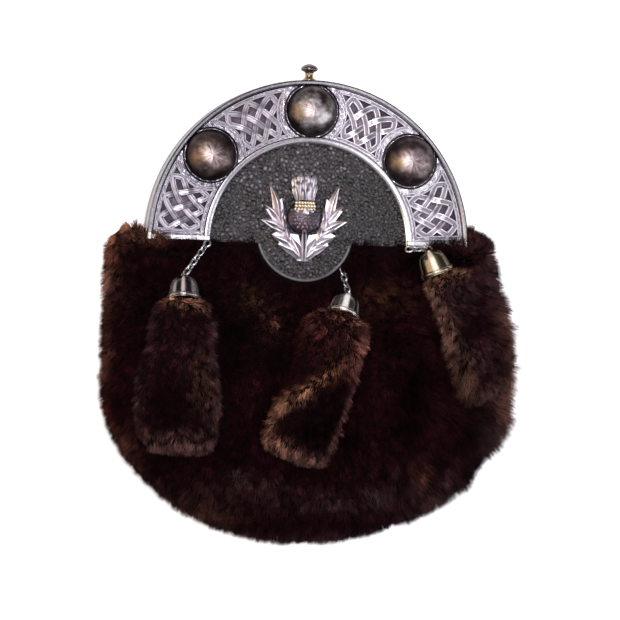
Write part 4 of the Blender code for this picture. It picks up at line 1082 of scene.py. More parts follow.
def build_globe():
    """The thistle's round base, with a net of scales over it."""
    globe, scales = Shape(), Shape()
    place = BADGE_LEVEL @ Matrix.Translation((0.0, GLOBE_Y, 0.0))
    crown = [(GLOBE_RADIUS * math.cos(t), 0.3 + 4.6 * math.sin(t))
             for t in (math.radians(6.0 * i) for i in range(15))]
    globe.turned([(0.0, 0.0), (GLOBE_RADIUS, 0.0), *crown, (0.0, 4.9)], 56, place)
    oxide = plain_silver_material("globe_metal", (0.078, 0.062, 0.078), 0.34, 0.5)
    globe.piece("badge_globe", oxide, 50.0)
    for row in range(-4, 5):
        for column in range(-4, 5):
            x, y = column * 2.1 + (row % 2) * 1.05, row * 1.75
            away = math.hypot(x, y)
            if away > 7.3:
                continue
            z = 0.1 + 4.9 * math.sqrt(1.0 - (away / 8.6) ** 2)
            tilt = Vector((x, y, 11.0)).to_track_quat("Z", "Y").to_matrix().to_4x4()
            add_lobe(scales, (0.0, -1.1), (0.0, 1.25), 1.5, 0.62,
                     place @ Matrix.Translation((x, y, z)) @ tilt, -0.2)
    tarnished = plain_silver_material("badge_scales", (0.225, 0.195, 0.23), 0.22, 0.38)
    scales.piece("badge_scale_net", tarnished, 30.0)


# ---------------------------------------------------------------- fur body's form

def side_reach(y, side):
    """Half the body's width at a height; the right shoulder is narrower."""
    right = blend(BODY_RIGHT_SHOULDER, BODY_HALF_WIDTH, smooth(-y / SHOULDER_RUN))
    return np.where(side < 0, BODY_HALF_WIDTH, right)


def half_outline(side):
    """The base outline from the shoulder's top to the lowest point, on one side."""
    reach = float(side_reach(SHOULDER_Y, side)) - SHOULDER_RADIUS
    points = []
    for step in range(12):
        t = math.radians(90.0 - side * 90.0 * step / 12)
        points.append((side * reach + SHOULDER_RADIUS * math.cos(t),
                       SHOULDER_Y + SHOULDER_RADIUS * math.sin(t)))
    for y in np.linspace(SHOULDER_Y, WIDEST_Y, 45)[:-1]:
        points.append((side * float(side_reach(y, side)), y))
    for step in range(91):
        t = math.radians(step)
        points.append((side * BODY_HALF_WIDTH * math.cos(t), WIDEST_Y - BODY_DEPTH * math.sin(t)))
    return points


OUTLINE = np.array(half_outline(-1) + half_outline(1)[-2::-1])
OFFSETS = OUTLINE - POLE
TURNS = np.unwrap(np.arctan2(OFFSETS[:, 1], OFFSETS[:, 0]) % math.tau)
REACHES = np.hypot(*OFFSETS.T)


def crown_z(y):
    """Height of the front's middle line."""
    return blend(TOP_CROWN_Z, BELLY_CROWN_Z, smooth((CROWN_START_Y - y) / CROWN_RUN))


def surface_z(y, station, thickness=0.0):
    """Height of the front at a share of the way from the pole to the outline."""
    rise = np.sqrt(np.maximum(1.0 - np.minimum(station, 1.0) ** 4, 0.0))
    return WIDEST_Z + (crown_z(y) - thickness - WIDEST_Z) * rise


def fur_z(x, y):
    """Height of the fur's base surface."""
    dx, dy = x - POLE[0], y - POLE[1]
    turn = np.arctan2(dy, dx) % math.tau
    return surface_z(y, np.hypot(dx, dy) / np.interp(turn, TURNS, REACHES))


def back_edge_z(y):
    """Height of the back's edge, which arches up behind the cantle."""
    share = smooth((y - BACK_FLAT_Y) / (BACK_ARCH_Y - BACK_FLAT_Y))
    return blend(BACK_EDGE_RISE, BACK_RAISE, share)


def outline_inward(points):
    """Unit normals of the base outline in plan, towards its inside."""
    x, y = points[:, 0], points[:, 1]
    side = np.sign(x)
    middle = np.stack([side * (side_reach(SHOULDER_Y, side) - SHOULDER_RADIUS),
                       np.full(len(x), SHOULDER_Y)], 1)
    shoulder = unit(middle - points)
    slope = unit(np.stack([x / BODY_HALF_WIDTH ** 2, (y - WIDEST_Y) / BODY_DEPTH ** 2], 1))
    straight = np.stack([-side, np.zeros(len(x))], 1)
    result = np.where((y > SHOULDER_Y)[:, None], shoulder, straight)
    return np.where((y <= WIDEST_Y)[:, None], -slope, result)


STATIONS = np.concatenate([np.linspace(0.0, 0.9, 46), 1 - 0.1 * np.cos(
    np.linspace(0, math.pi / 2, 13)[1:]) ** 1.3])


def body_rows(thickness=0.0, rim_inset=0.0, inner=False):
    """The base surface (or the hollow's), as rows of points from the pole to the seam."""
    inward = outline_inward(OUTLINE)
    rim = OUTLINE + inward * rim_inset
    grid = []
    for station in STATIONS:
        plan = POLE + (rim - POLE) * station
        grid.append(np.column_stack([plan, surface_z(plan[:, 1], station, thickness)]))
    for row in UNDER_SIDE:
        inset, height = row[2:] if inner else row[:2]
        plan = OUTLINE + inward * inset
        grid.append(np.column_stack([plan, back_edge_z(plan[:, 1]) + height]))
    return np.stack(grid, 1)


def grid_quads(rows, columns):
    a = (np.arange(rows - 1)[:, None] * columns + np.arange(columns - 1)).ravel()
    return np.stack([a, a + 1, a + columns + 1, a + columns], 1)


def scatter(grid, count, seed):
    """Random points spread evenly over a grid of points, with the surface's normals there."""
    dice = np.random.default_rng(seed)
    quads = grid_quads(*grid.shape[:2])
    tris = np.vstack([quads[:, [0, 1, 2]], quads[:, [0, 2, 3]]])
    verts = grid.reshape(-1, 3)
    a, b, c = (verts[tris[:, i]] for i in range(3))
    normal = np.cross(b - a, c - a)
    area = np.linalg.norm(normal, axis=1)
    pick = dice.choice(len(tris), count, p=area / area.sum())
    r, s = np.sqrt(dice.random(count))[:, None], dice.random(count)[:, None]
    points = a[pick] * (1 - r) + b[pick] * r * (1 - s) + c[pick] * r * s
    return points, unit(normal[pick])


# ---------------------------------------------------------------- tassels' form

def tassel_heading(tassel):
    """The way down a tassel, in plan."""
    lean = math.radians(tassel["lean"])
    return Vector((math.sin(lean), -math.cos(lean), 0.0))


def tassel_axes(tassel):
    """The ways across and down a tassel, as arrays."""
    heading = np.array(tassel_heading(tassel))
    return np.array((-heading[1], heading[0], 0.0)), heading


def cap_frame(tassel):
    """A frame at the middle of the bell's mouth, with X down the tassel."""
    mouth = Vector((*tassel["mouth"], 0.0))
    eye = mouth - tassel_heading(tassel) * (CAP_HEIGHT + CAP_EYE_RADIUS)
    mouth.z = float(fur_z(mouth.x, mouth.y)) + CAP_RISE
    eye.z = float(fur_z(eye.x, eye.y)) + EYE_RISE
    return Matrix.Translation(mouth) @ along(mouth - eye)


def cap_eye(tassel):
    return cap_frame(tassel) @ Vector((-CAP_HEIGHT - CAP_EYE_RADIUS + 0.5, 0.0, 0.0))


TASSEL_TURNS = math.tau * (np.arange(TASSEL_SIDES) + 0.5) / TASSEL_SIDES
TASSEL_COS, TASSEL_SIN = np.cos(TASSEL_TURNS), np.sin(TASSEL_TURNS)


def mouth_ring(tassel, down, left, right):
    """A ring square to the cap's axis."""
    place = cap_frame(tassel)
    half = np.where(TASSEL_COS > 0, right, left)
    deep = np.minimum(half, TASSEL_DEPTH - 0.6)
    return np.array([tuple(place @ Vector((down, h * c, d * s)))
                     for h, d, c, s in zip(half, deep, TASSEL_COS, TASSEL_SIN)])


def tassel_ring(tassel, down, left, right, depth=TASSEL_DEPTH, drop=0.0):
    """An upright ring that lies on the fur and drapes over it."""
    across, heading = tassel_axes(tassel)
    plan = np.array((*tassel["mouth"], 0.0)) + heading * down
    level = float(fur_z(plan[0], plan[1]))
    half = np.where(TASSEL_COS > 0, right, left)
    ring = plan + np.outer(half * TASSEL_COS, across)
    ring[:, 2] = level + TASSEL_DEPTH - TASSEL_SINK - drop + depth * TASSEL_SIN
    ring[:, 2] += TASSEL_DRAPE * (fur_z(ring[:, 0], ring[:, 1]) - level)
    return ring


def tassel_rings(tassel):
    """Rings down the tassel: neck, mouth, the measured widths and a rounded end."""
    mouth, *lower = tassel["widths"]
    last, left, right = lower[-1]
    upper = ((-4.0, 5.6, 5.6), (0.6, 6.4, 6.4), mouth)
    ends = ((2.2, 0.86), (3.6, 0.6), (4.2, 0.25))
    downs = np.array([w[0] for w in (*upper, *lower)] + [last + extra for extra, _ in ends])
    rings = [mouth_ring(tassel, *w) for w in upper] + [tassel_ring(tassel, *w) for w in lower]
    rings += [tassel_ring(tassel, last + extra, left * share, right * share,
                          TASSEL_DEPTH * share, (1.0 - share) * 2.0) for extra, share in ends]
    wanted = np.concatenate([np.arange(-4.0, 3.0, 1.2), np.arange(3.0, last, 1.8),
                             last + np.array([0.0, 1.2, 2.2, 3.0, 3.6, 4.0, 4.2])])
    return spline(downs, np.array(rings), wanted), wanted


def spline(downs, rings, wanted):
    """Rings at the wanted places, on smooth curves through the given ones."""
    flat = rings.reshape(len(rings), -1)
    steps = np.diff(flat, axis=0) / np.diff(downs)[:, None]
    before, after = steps[:-1], steps[1:]
    turning = before * after <= 0.0
    slopes = np.where(turning, 0.0, 2 * before * after / np.where(turning, 1.0, before + after))
    slopes = np.vstack([steps[:1], slopes, steps[-1:]])
    spot = np.clip(np.searchsorted(downs, wanted, "right") - 1, 0, len(downs) - 2)
    span = downs[spot + 1] - downs[spot]
    t = ((wanted - downs[spot]) / span)[:, None]
    span = span[:, None]
    curve = ((2 * t ** 3 - 3 * t ** 2 + 1) * flat[spot] + (t ** 3 - 2 * t ** 2 + t) * span
             * slopes[spot] + (3 * t ** 2 - 2 * t ** 3) * flat[spot + 1]
             + (t ** 3 - t ** 2) * span * slopes[spot + 1])
    return curve.reshape(len(wanted), TASSEL_SIDES, 3)


def chain_run(name):
    """Where a chain's links lie between its upper end and the eye of its cap."""
    chain = CHAINS[name]
    start, end = chain["start"], cap_eye(TASSELS[name])
    span = (end - start).length
    hook = CAP_EYE_RADIUS - WIRE - 0.3
    first = hook if chain["on_lug"] else WIRE / 2
    count = chain["links"]
    room = span - first - hook + WIRE + (count - 1) * (2 * WIRE + LINK_GAP)
    length = room / count
    return {"start": start, "heading": (end - start).normalized(), "length": length,
            "pitch": length - 2 * WIRE - LINK_GAP, "first": first + (length - WIRE) / 2,
            "count": count}


def add_link(shape, length, width, place, sides=28, round_sides=10):
    """One oval link of round wire."""
    bend, stretch = (width - WIRE) / 2, (length - width) / 2
    rings = []
    for i in range(sides):
        t = math.tau * (i + 0.5) / sides
        centre = Vector((bend * math.cos(t) + math.copysign(stretch, math.cos(t)),
                         bend * math.sin(t), 0.0))
        out = Vector((math.cos(t), math.sin(t), 0.0))
        rings.append([tuple(centre + (out * math.cos(a) + Vector((0, 0, 1)) * math.sin(a))
                            * WIRE / 2) for a in np.arange(round_sides) * math.tau / round_sides])
    shape.rings(rings, place, closed=True)


TO_X = Matrix.Rotation(-math.pi / 2, 4, "Y")
# Each cap's silver has its own tone to paint the light it catches: darker on the left, pale in the
# middle, warm on the right.
CAP_PAINTED_LIGHT_COLOURS = {"left": (0.47, 0.41, 0.40), "middle": (0.86, 0.81, 0.77),
               "right": (0.68, 0.57, 0.42)}
CAP_REFLECTION_FLOOR = {"left": 0.0, "middle": 0.0, "right": 0.22}   # least brightness of its painted reflection
CAP_HIGHLIGHT_LINES = {"left": 8.0, "middle": 14.0, "right": 15.0}    # half angle of the painted highlight line
BELL_PAINTED_REFLECTION = ((0.0, 1.0), (0.55, 1.0), (1.3, 0.24), (2.1, 0.10), (3.4, 0.10), (4.2, 0.6),
                (20.0, 0.5))      # brightness of the painted reflection by the angle round the bell, in line half angles
BELL_HIGHLIGHT_TURN = 12.0                 # of the painted highlight line, in degrees round the bell
BELL_FOOT = 2.2                  # height of the bell's even foot


def paint_bell_reflection(mesh, frame_of_cap, line, least):
    """Painted reflection on the bell: a bright painted highlight line near its front, with dark
    painted reflection down both sides.
    """
    to_cap = frame_of_cap.inverted()
    shades = []
    for vert in mesh.vertices:
        local = to_cap @ (vert.co / MM - Vector((0.0, CENTRE_Y, 0.0)))
        turn = abs(math.degrees(math.atan2(local.y, local.z)) + BELL_HIGHLIGHT_TURN) / line
        shade = max(float(np.interp(turn, *zip(*BELL_PAINTED_REFLECTION))), least)
        shades.append(blend(shade, 0.5, 0.6) if local.x > -BELL_FOOT else shade)
    add_tones(mesh, np.array(shades)[:, None])


BELL = ((0.0, CAP_HEIGHT), (2.4, CAP_HEIGHT), (3.6, 12.2), (4.8, 11.5), (5.8, 10.5),
        (6.5, 9.2), (7.0, 7.4), (7.3, 5.2), (7.6, 3.2), (7.75, 2.6), (8.25, 2.3),
        (8.55, 1.9), (CAP_RADIUS, 1.3), (8.5, 0.8), (8.2, 0.45), (8.35, 0.2), (8.3, 0.0),
        (7.4, 0.0), (7.2, 2.4), (6.8, 5.4), (6.2, 7.6), (4.4, 9.8), (0.0, 10.8))


def build_caps_and_chains():
    links = plain_silver_material("chain_silver", (0.48, 0.48, 0.50), 0.18, 0.32)
    for name, tassel in TASSELS.items():
        cap, chain, run = Shape(), Shape(), chain_run(name)
        cap.turned(BELL, 64, cap_frame(tassel) @ TO_X)
        for number in range(run["count"]):
            middle = run["start"] + run["heading"] * (run["first"] + run["pitch"] * number)
            roll = CHAINS[name]["roll"] * (1 if number % 2 == 0 else -1)
            add_link(chain, run["length"], LINK_WIDTH,
                     Matrix.Translation(middle) @ along(run["heading"], roll))
        width = 2 * CAP_EYE_RADIUS + WIRE
        add_link(cap, width, width,
                 Matrix.Translation(cap_eye(tassel)) @ along(run["heading"], -roll))
        silver = plain_silver_material("cap_silver_" + name, CAP_PAINTED_LIGHT_COLOURS[name], 0.18, 0.30, True)
        bell = cap.piece("bell_cap_" + name, silver, 40.0, ["tassel_cap_" + name])
        # The cap's vertices carry its painted reflection.
        paint_bell_reflection(bell, cap_frame(tassel), CAP_HIGHLIGHT_LINES[name], CAP_REFLECTION_FLOOR[name])
        chain.piece("links_" + name, links, 60.0, ["chain_" + name])


# ---------------------------------------------------------------- pile

DARK_ROOT = np.array((0.0022, 0.0005, 0.0008))
BROWN_TIP = np.array((0.0120, 0.0026, 0.0044))
BLACK_TIP = (0.0050, 0.0012, 0.0020)
# The patches along the pelt's outline, round the left shoulder and at the bottom are painted rim
# light where the edge hairs catch the light; those inside are the fur's own tone.
BODY_TONES_AND_RIM_LIGHT = (                   # of a patch: middle x, y, reach x, y, red, green, blue, weight
    (-90, 7, 10, 5.5, 0.54, 0.270, 0.175, 1.0),
    (-100, -3, 5.0, 8, 0.38, 0.155, 0.095, 0.95),
    (-88, 1, 8, 3.5, 0.140, 0.068, 0.044, 0.85),
    (-75.5, -3, 6, 3.5, 0.085, 0.034, 0.024, 0.95),
    (-94, -22, 5, 9, 0.070, 0.032, 0.029, 0.75),
    (-101, -22, 3.6, 14, 0.32, 0.148, 0.110, 0.95),
    (-101, -62, 3.4, 26, 0.155, 0.066, 0.048, 0.9),
    (-103, -92, 7, 16, 0.13, 0.026, 0.026, 0.8),
    (38, -24, 12, 8, 0.085, 0.036, 0.018, 0.6),
    (26, -34, 7, 5, 0.07, 0.025, 0.015, 0.5),
    (-26, -26, 8, 7, 0.105, 0.05, 0.030, 0.6),
    (-18, -40, 7, 9, 0.085, 0.036, 0.026, 0.5),
    (56, -111, 4, 5, 0.22, 0.070, 0.03, 0.8),
    (64, -120, 30, 12, 0.050, 0.024, 0.026, 0.7),
    (92, -88, 10, 16, 0.048, 0.028, 0.032, 0.7),
    (-60, -128, 34, 10, 0.065, 0.030, 0.026, 0.65),
    (0, -126, 50, 7, 0.045, 0.020, 0.022, 0.6),
    (100, -28, 6, 16, 0.18, 0.092, 0.084, 0.8),
    (100, -62, 8, 26, 0.34, 0.155, 0.115, 0.95),
    (93, -10, 8, 22, 0.11, 0.056, 0.060, 0.75),
    (86, 2, 10, 6, 0.09, 0.036, 0.034, 0.7),
    (0, -149, 80, 6, 0.07, 0.026, 0.022, 0.6),
    (-90, -112, 7, 14, 0.20, 0.085, 0.062, 0.8),
    (-64, -137, 22, 6, 0.17, 0.080, 0.055, 0.8),
    (-24, -149, 24, 3.5, 0.15, 0.075, 0.062, 0.75),
    (40, -146, 26, 4, 0.12, 0.058, 0.054, 0.7),
    (72, -130, 15, 7, 0.12, 0.062, 0.054, 0.7),
    (-34, -113, 6, 3.5, 0.075, 0.042, 0.045, 0.7),
    (-26, -119, 9, 3, 0.085, 0.045, 0.040, 0.7),
    (34, -124, 5, 4, 0.085, 0.055, 0.060, 0.7),
    (12, -128, 12, 3.5, 0.080, 0.042, 0.044, 0.65),
)
# The patches at each tassel's sides, at its lower end and at its collar under the cap are painted
# rim light.
TASSEL_TONES_AND_RIM_LIGHT = {                 # as above, but across and down each tassel
    "left": (
        (-2, 50, 14, 13, *BLACK_TIP, 0.8),
        (2, 20, 13, 16, 0.044, 0.016, 0.022, 0.75),
        (0, 0.0, 11, 2.7, 0.40, 0.200, 0.13, 0.95),
        (9, 37, 6, 13, 0.085, 0.042, 0.024, 0.85),
        (17, 48, 4, 14, 0.12, 0.066, 0.062, 0.85),
        (15, 12, 3.5, 24, 0.085, 0.046, 0.052, 0.85),
        (-16, 10, 3.5, 16, 0.065, 0.032, 0.036, 0.8),
        (-2, 70, 24, 6.0, 0.26, 0.135, 0.125, 0.95),
        (-23, 50, 4, 18, 0.085, 0.045, 0.046, 0.85),
    ),
    "middle": (
        (12, 11, 7.5, 13, 0.29, 0.118, 0.092, 0.9),
        (-8, 14, 9, 10, 0.090, 0.026, 0.022, 0.8),
        (-14, 6, 5, 6, 0.11, 0.044, 0.036, 0.75),
        (2, 0.5, 10, 3.5, 0.17, 0.070, 0.050, 0.9),
        (16.5, 46, 2.5, 21, 0.46, 0.22, 0.20, 1.0),
        (6, 73, 14, 5.5, 0.32, 0.17, 0.14, 0.95),
        (5, 52, 12.5, 15, 0.0018, 0.0004, 0.0007, 1.35),
        (8, 38, 6.5, 7.5, 0.0018, 0.0004, 0.0007, 1.35),
        (3, 22, 3.4, 3, 0.26, 0.12, 0.065, 0.9),
        (1, 27.5, 3.2, 2.8, 0.44, 0.21, 0.115, 1.0),
        (-3, 33, 3.2, 2.6, 0.55, 0.27, 0.15, 1.0),
        (-7, 39, 3.2, 2.6, 0.85, 0.45, 0.27, 1.1),
        (-11, 44, 3.0, 2.8, 0.66, 0.34, 0.21, 1.0),
        (-15, 50, 2.6, 4, 0.55, 0.28, 0.18, 1.0),
        (-18, 60, 2.4, 7, 0.34, 0.18, 0.12, 0.95),
        (-12, 71, 9, 5, 0.46, 0.235, 0.175, 1.0),
    ),
    "right": (
        (4, 8, 14, 15, 0.042, 0.020, 0.025, 0.85),
        (2, 0.5, 11, 3.5, 0.28, 0.14, 0.085, 0.95),
        (6, 30, 9, 9, *BLACK_TIP, 0.5),
        (-9.5, 28, 5.0, 30, 0.33, 0.185, 0.14, 0.9),
        (-11, 48, 4.5, 9, 0.15, 0.080, 0.055, 0.8),
        (3, 44, 11, 9, 0.08, 0.038, 0.038, 0.75),
        (0, 61, 20, 5, 0.16, 0.085, 0.065, 0.9),
        (20, 40, 5, 20, 0.20, 0.095, 0.075, 0.85),
    ),
}


def tint(places, tints, tone, seed):
    """Blend lighter patches into hair tones, broken up by tufts. Some patches are the fur's own
    tone; those along the edges of the pelt and the tassels are painted rim light.
    """
    flat = np.column_stack([places, np.zeros(len(places))])
    grain = 0.8 * waves(flat, 7.0, seed) + 0.9 * waves(flat, 2.6, seed + 1)
    for x, y, wide, tall, red, green, blue, weight in tints:
        offset = (places - (x, y)) / (wide, tall)
        share = np.exp(-(offset ** 2).sum(1)) * weight
        share = np.clip(share * (0.75 + 0.6 * grain), 0.0, 1.0)[:, None]
        tone = blend(tone, np.array((red, green, blue)), share)
    return tone


HAIRS_A_TUFT = 26
UNEVEN = 0.13                   # sway of the tufts, and of the hairs in them


def grow_pile(roots, normals, flow, length, lay, seed):
    """Tapered hairs that lean along the flow and gather into tufts: corners and brightness."""
    dice = np.random.default_rng(seed)
    count = len(roots)
    seeds = count // HAIRS_A_TUFT
    chosen = dice.choice(count, seeds, replace=False)
    tree = kdtree.KDTree(seeds)
    for i, k in enumerate(chosen):
        tree.insert(roots[k], i)
    tree.balance()
    nearest = np.array([tree.find(p)[1] for p in roots])
    keeper = chosen[nearest]
    sway = dice.normal(size=(seeds, 3))[nearest] * UNEVEN
    level = flow - normals * (flow * normals).sum(1, keepdims=True)
    heading = unit(normals * (1.0 - lay) + unit(level) * lay + sway
                   + dice.normal(size=(count, 3)) * UNEVEN)
    tall = dice.uniform(0.9, 1.08, seeds)[nearest] * dice.uniform(0.84, 1.0, count) * length
    tip = roots + heading * tall[:, None]
    gathered = roots[keeper] + heading[keeper] * tall[:, None]
    tip = blend(tip, gathered, dice.uniform(0.08, 0.38, count)[:, None])
    tip[:, 2] = np.maximum(tip[:, 2], LOWEST_TIP)
    side = unit(np.cross(heading, dice.normal(size=(count, 3))))
    other = np.cross(heading, side)
    verts = np.empty((count, 4, 3))
    for corner in range(3):
        t = math.tau * corner / 3
        verts[:, corner] = roots + (side * math.cos(t) + other * math.sin(t)) * PILE_RADIUS
    verts[:, 3] = tip
    return verts, dice.lognormal(-0.1, 0.42, seeds)[nearest] * dice.uniform(0.5, 1.5, count)


def pile_tones(tip_tone, brightness):
    """Four tones a hair: three dark ones at its root, and its own at the tip."""
    tones = np.empty((len(tip_tone), 4, 3))
    tones[:, :3] = (DARK_ROOT + tip_tone * 0.16)[:, None]
    tones[:, 3] = tip_tone * brightness[:, None]
    return tones


def add_pile(name, verts, tones, material):
    """Hairs, of four corners each, become one piece."""
    mesh = bpy.data.meshes.new(name)
    corners = (verts.reshape(-1, 3) + (0.0, CENTRE_Y, 0.0)) * MM
    first = np.arange(len(verts))[:, None] * 4
    faces = np.concatenate([first + face for face in HAIR_FACES])
    mesh.vertices.add(len(corners))
    mesh.vertices.foreach_set("co", corners.astype(np.float32).ravel())
    mesh.loops.add(faces.size)
    mesh.loops.foreach_set("vertex_index", faces.astype(np.int32).ravel())
    mesh.polygons.add(len(faces))
    mesh.polygons.foreach_set("loop_start", np.arange(0, faces.size, 3, dtype=np.int32))
    mesh.update(calc_edges=True)
    add_tones(mesh, tones.reshape(-1, 3))
    add_piece(name, mesh, material)


def tassel_cover(points):
    """How far points in plan lie inside a tassel's outline, or 0."""
    covered = np.zeros(len(points))
    for tassel in TASSELS.values():
        offset = points[:, :2] - tassel["mouth"]
        across, down = (offset @ axis[:2] for axis in tassel_axes(tassel))
        downs, lefts, rights = zip(*tassel["widths"])
        inside = np.minimum(np.minimum(np.interp(down, downs, rights) - across,
                                       np.interp(down, downs, lefts) + across),
                            np.minimum(down + 2.0, downs[-1] - down))
        capped = np.minimum(CAP_RADIUS - np.abs(across),
                            np.minimum(down + CAP_HEIGHT, 2.0 - down))
        covered = np.maximum(covered, np.maximum(inside, capped))
    return covered


def chain_distance(points):
    """Distance in plan from the nearest chain's middle line."""
    best = np.full(len(points), 1e9)
    for name in CHAINS:
        run = chain_run(name)
        start = np.array(run["start"])[:2]
        end = start + np.array(run["heading"])[:2] * run["pitch"] * run["count"]
        line = end - start
        t = np.clip(((points[:, :2] - start) @ line) / (line @ line), 0.0, 1.0)
        best = np.minimum(best, np.linalg.norm(points[:, :2] - start - t[:, None] * line, axis=1))
    return best


def build_hide():
    """The pelt's wall under the pile: closed, hollow inside, and open to the cantle."""
    outer, inner = body_rows(), body_rows(PELT_TOP, PELT_SIDE, True)
    inner[:, 0] = inner[:1, 0]
    under = (tassel_cover(outer.reshape(-1, 3)) > 0.0).reshape(outer.shape[:2])
    outer[..., 2] -= np.where(outer[..., 2] > WIDEST_Z, 0.8, 0.0) + np.where(under, 1.0, 0.0)
    shape = Shape()
    both = np.concatenate([outer, inner[:, ::-1]], 1)
    rays, columns = both.shape[:2]
    ends = [[row * columns + j for j in range(columns)] for row in (0, rays - 1)]
    shape.add(both.reshape(-1, 3).tolist(), grid_quads(rays, columns).tolist() + ends)
    form = shape.form()
    bmesh.ops.remove_doubles(form, verts=form.verts, dist=0.002)
    bmesh.ops.triangulate(form, faces=[f for f in form.faces if len(f.verts) > 4])
    mesh = make_mesh("pelt", form)
    carve(add_piece("pelt", mesh, hide_material(), ["pouch_fur"]))


SPACE_TOP_Z = 80.0              # well above the pouch


def carve(pelt):
    """Cut the pelt away where the cantle and the tongue lie."""
    cantle, tongue = Shape(), Shape()
    radius = RING_OUTER + 0.4
    outline = [ring_point(180.0 * i / 60, radius) for i in range(61)]
    outline += [(-radius, -0.5), (radius, -0.5)]
    cantle.rings([[(*p, z) for p in outline] for z in (-5.0, SPACE_TOP_Z)])
    arc = [tuple(p) for p in tongue_arc(TONGUE_RADIUS + 0.3, 40)]
    arc = [(arc[0][0], 3.0), *arc, (arc[-1][0], 3.0)]
    tongue.rings([[(*p, z + float(tongue_lift(p[1]))) for p in arc]
                  for z in (FRONT_BACK_Z - 0.3, SPACE_TOP_Z)])
    for space in (cantle, tongue):
        tool = add_object("space", make_mesh("space", space.form()))
        modifier = pelt.modifiers.new("space", "BOOLEAN")
        modifier.operation, modifier.object, modifier.solver = "DIFFERENCE", tool, "EXACT"
        graph = bpy.context.evaluated_depsgraph_get()
        cut = bpy.data.meshes.new_from_object(pelt.evaluated_get(graph))
        pelt.modifiers.clear()
        pelt.data = cut
        bpy.data.objects.remove(tool)


CORNER_X = -75.5                 # of the tuft that stands up at the left end of the cantle
BAR_FOOT_Y = -0.9                # lower edge of the cantle's end bars
UNDER_BAR_Y = -7.2               # hairs grow up towards the bars from here on


def outward(normals, offsets):
    """Normals turned to the side that the offsets point to."""
    return normals * np.sign((normals * offsets).sum(1, keepdims=True))


def body_roots():
    """Points all over the body, and closer together beside and under the cantle."""
    grid = body_rows()
    points, normals = scatter(grid, int(PILE_COUNT * 1.45), 11)
    more, more_normals = scatter(grid, PILE_COUNT * 3, 12)
    x, y, front = more[:, 0], more[:, 1], more[:, 2] > 12.0
    crowded = np.flatnonzero((y > -8.5) & (np.abs(x) > RING_INNER + 3.0) & front)[:SHOULDER_COUNT]
    tuft = np.flatnonzero((np.abs(x - CORNER_X) < 4.2) & (y > -5.5) & (y < BAR_FOOT_Y) & front)
    tuft = np.tile(tuft, 3)
    shift = np.random.default_rng(15).normal(size=(len(tuft), 3)) * (0.6, 0.5, 0.1)
    points = np.vstack([more[tuft] + shift, more[crowded], points])
    normals = np.vstack([more_normals[tuft], more_normals[crowded], normals])
    normals = outward(normals, points - (0.0, WIDEST_Y, 18.0))
    x, y, z = points.T
    keep = ~((np.hypot(x, y) < RING_OUTER + 0.6) & (y > BAR_FOOT_Y))
    keep &= ~((np.hypot(x - TONGUE_X, y - TONGUE_Y) < TONGUE_RADIUS + 0.6) & (z > 20))
    keep &= (tassel_cover(points) < 5.0) | (z < 24.0)
    keep &= ~((np.abs(x) < FRONT_BASE_X) & (y > FRONT_BASE_Y - 0.9))
    total = PILE_COUNT + SHOULDER_COUNT
    return points[keep][:total], normals[keep][:total]


def build_body_pile():
    """The body's hairs hang down, but stand up and out round the cantle."""
    points, normals = body_roots()
    x, y, z = points.T
    away, none = np.hypot(x, y), np.zeros(len(x))
    below_bar = (y > UNDER_BAR_Y) & (np.abs(x) < RING_OUTER + 3.0) & (np.abs(x) > RING_INNER + 4.0)
    beside = (y > -5.0) & (away > RING_OUTER) & (away < RING_OUTER + 4.0)
    flow = np.column_stack([x / 160.0 + 0.35 * waves(points, 60.0, 5), none - 1.0, none])
    spread = np.sign(x) * np.maximum(np.abs(x) - 84.0, 0.0) / 10.0
    flow = blend(flow, np.column_stack([spread, none + 0.8, none]),
                 smooth((y + 8.0) / 8.0)[:, None])
    flow[below_bar] = (0.0, 0.9, 0.0)
    flow[beside] = np.column_stack([-0.7 * np.sign(x), none + 0.5, none])[beside]
    tufts = waves(points, 7.0, 9)
    corner_tuft = np.exp(-((x - CORNER_X) / 4.0) ** 2)
    bare_corner = np.exp(-((x + 82.5) / 2.6) ** 2)
    length = PILE_LENGTH * (1.0 + 0.10 * waves(points, 22.0, 8))
    length *= blend(0.45, 1.0, smooth((chain_distance(points) - 1.5) / 4.0))
    length *= blend(0.55, 1.0, smooth((z - 5.0) / 6.0))
    length *= np.where(below_bar, 1.24 + 0.16 * tufts + 0.04 * corner_tuft - 0.45 * bare_corner
                       + 0.1 * (x > 60.0), 1.0)
    length *= np.where(beside, 0.85 + 0.10 * tufts, 1.0)
    length *= 1.0 - 0.85 * np.exp(-((x + 97.0) ** 2 + (y - 4.5) ** 2) / 50.0)
    length *= blend(1.0, np.interp(y, *zip(*LONGER_RIGHT)), smooth((x - 30.0) / 45.0))
    over_bar = np.interp(y, (UNDER_BAR_Y, -4.0, BAR_FOOT_Y), (0.50, 0.38, 0.12))
    lay = np.where(below_bar, over_bar + 0.12 * corner_tuft, np.where(beside, 0.3, 0.45))
    verts, brightness = grow_pile(points - normals * PILE_ROOT, normals, flow, length,
                                  lay[:, None], 21)
    tone = BROWN_TIP * (1.0 + 0.55 * waves(points, 30.0, 14))[:, None]
    tones = pile_tones(tint(points[:, :2], BODY_TONES_AND_RIM_LIGHT, tone, 31), brightness)
    material = fur_material("body_fur")
    for number in range(PILE_PIECES):
        add_pile(f"body_pile_{number + 1}", verts[number::PILE_PIECES],
                 tones[number::PILE_PIECES], material)


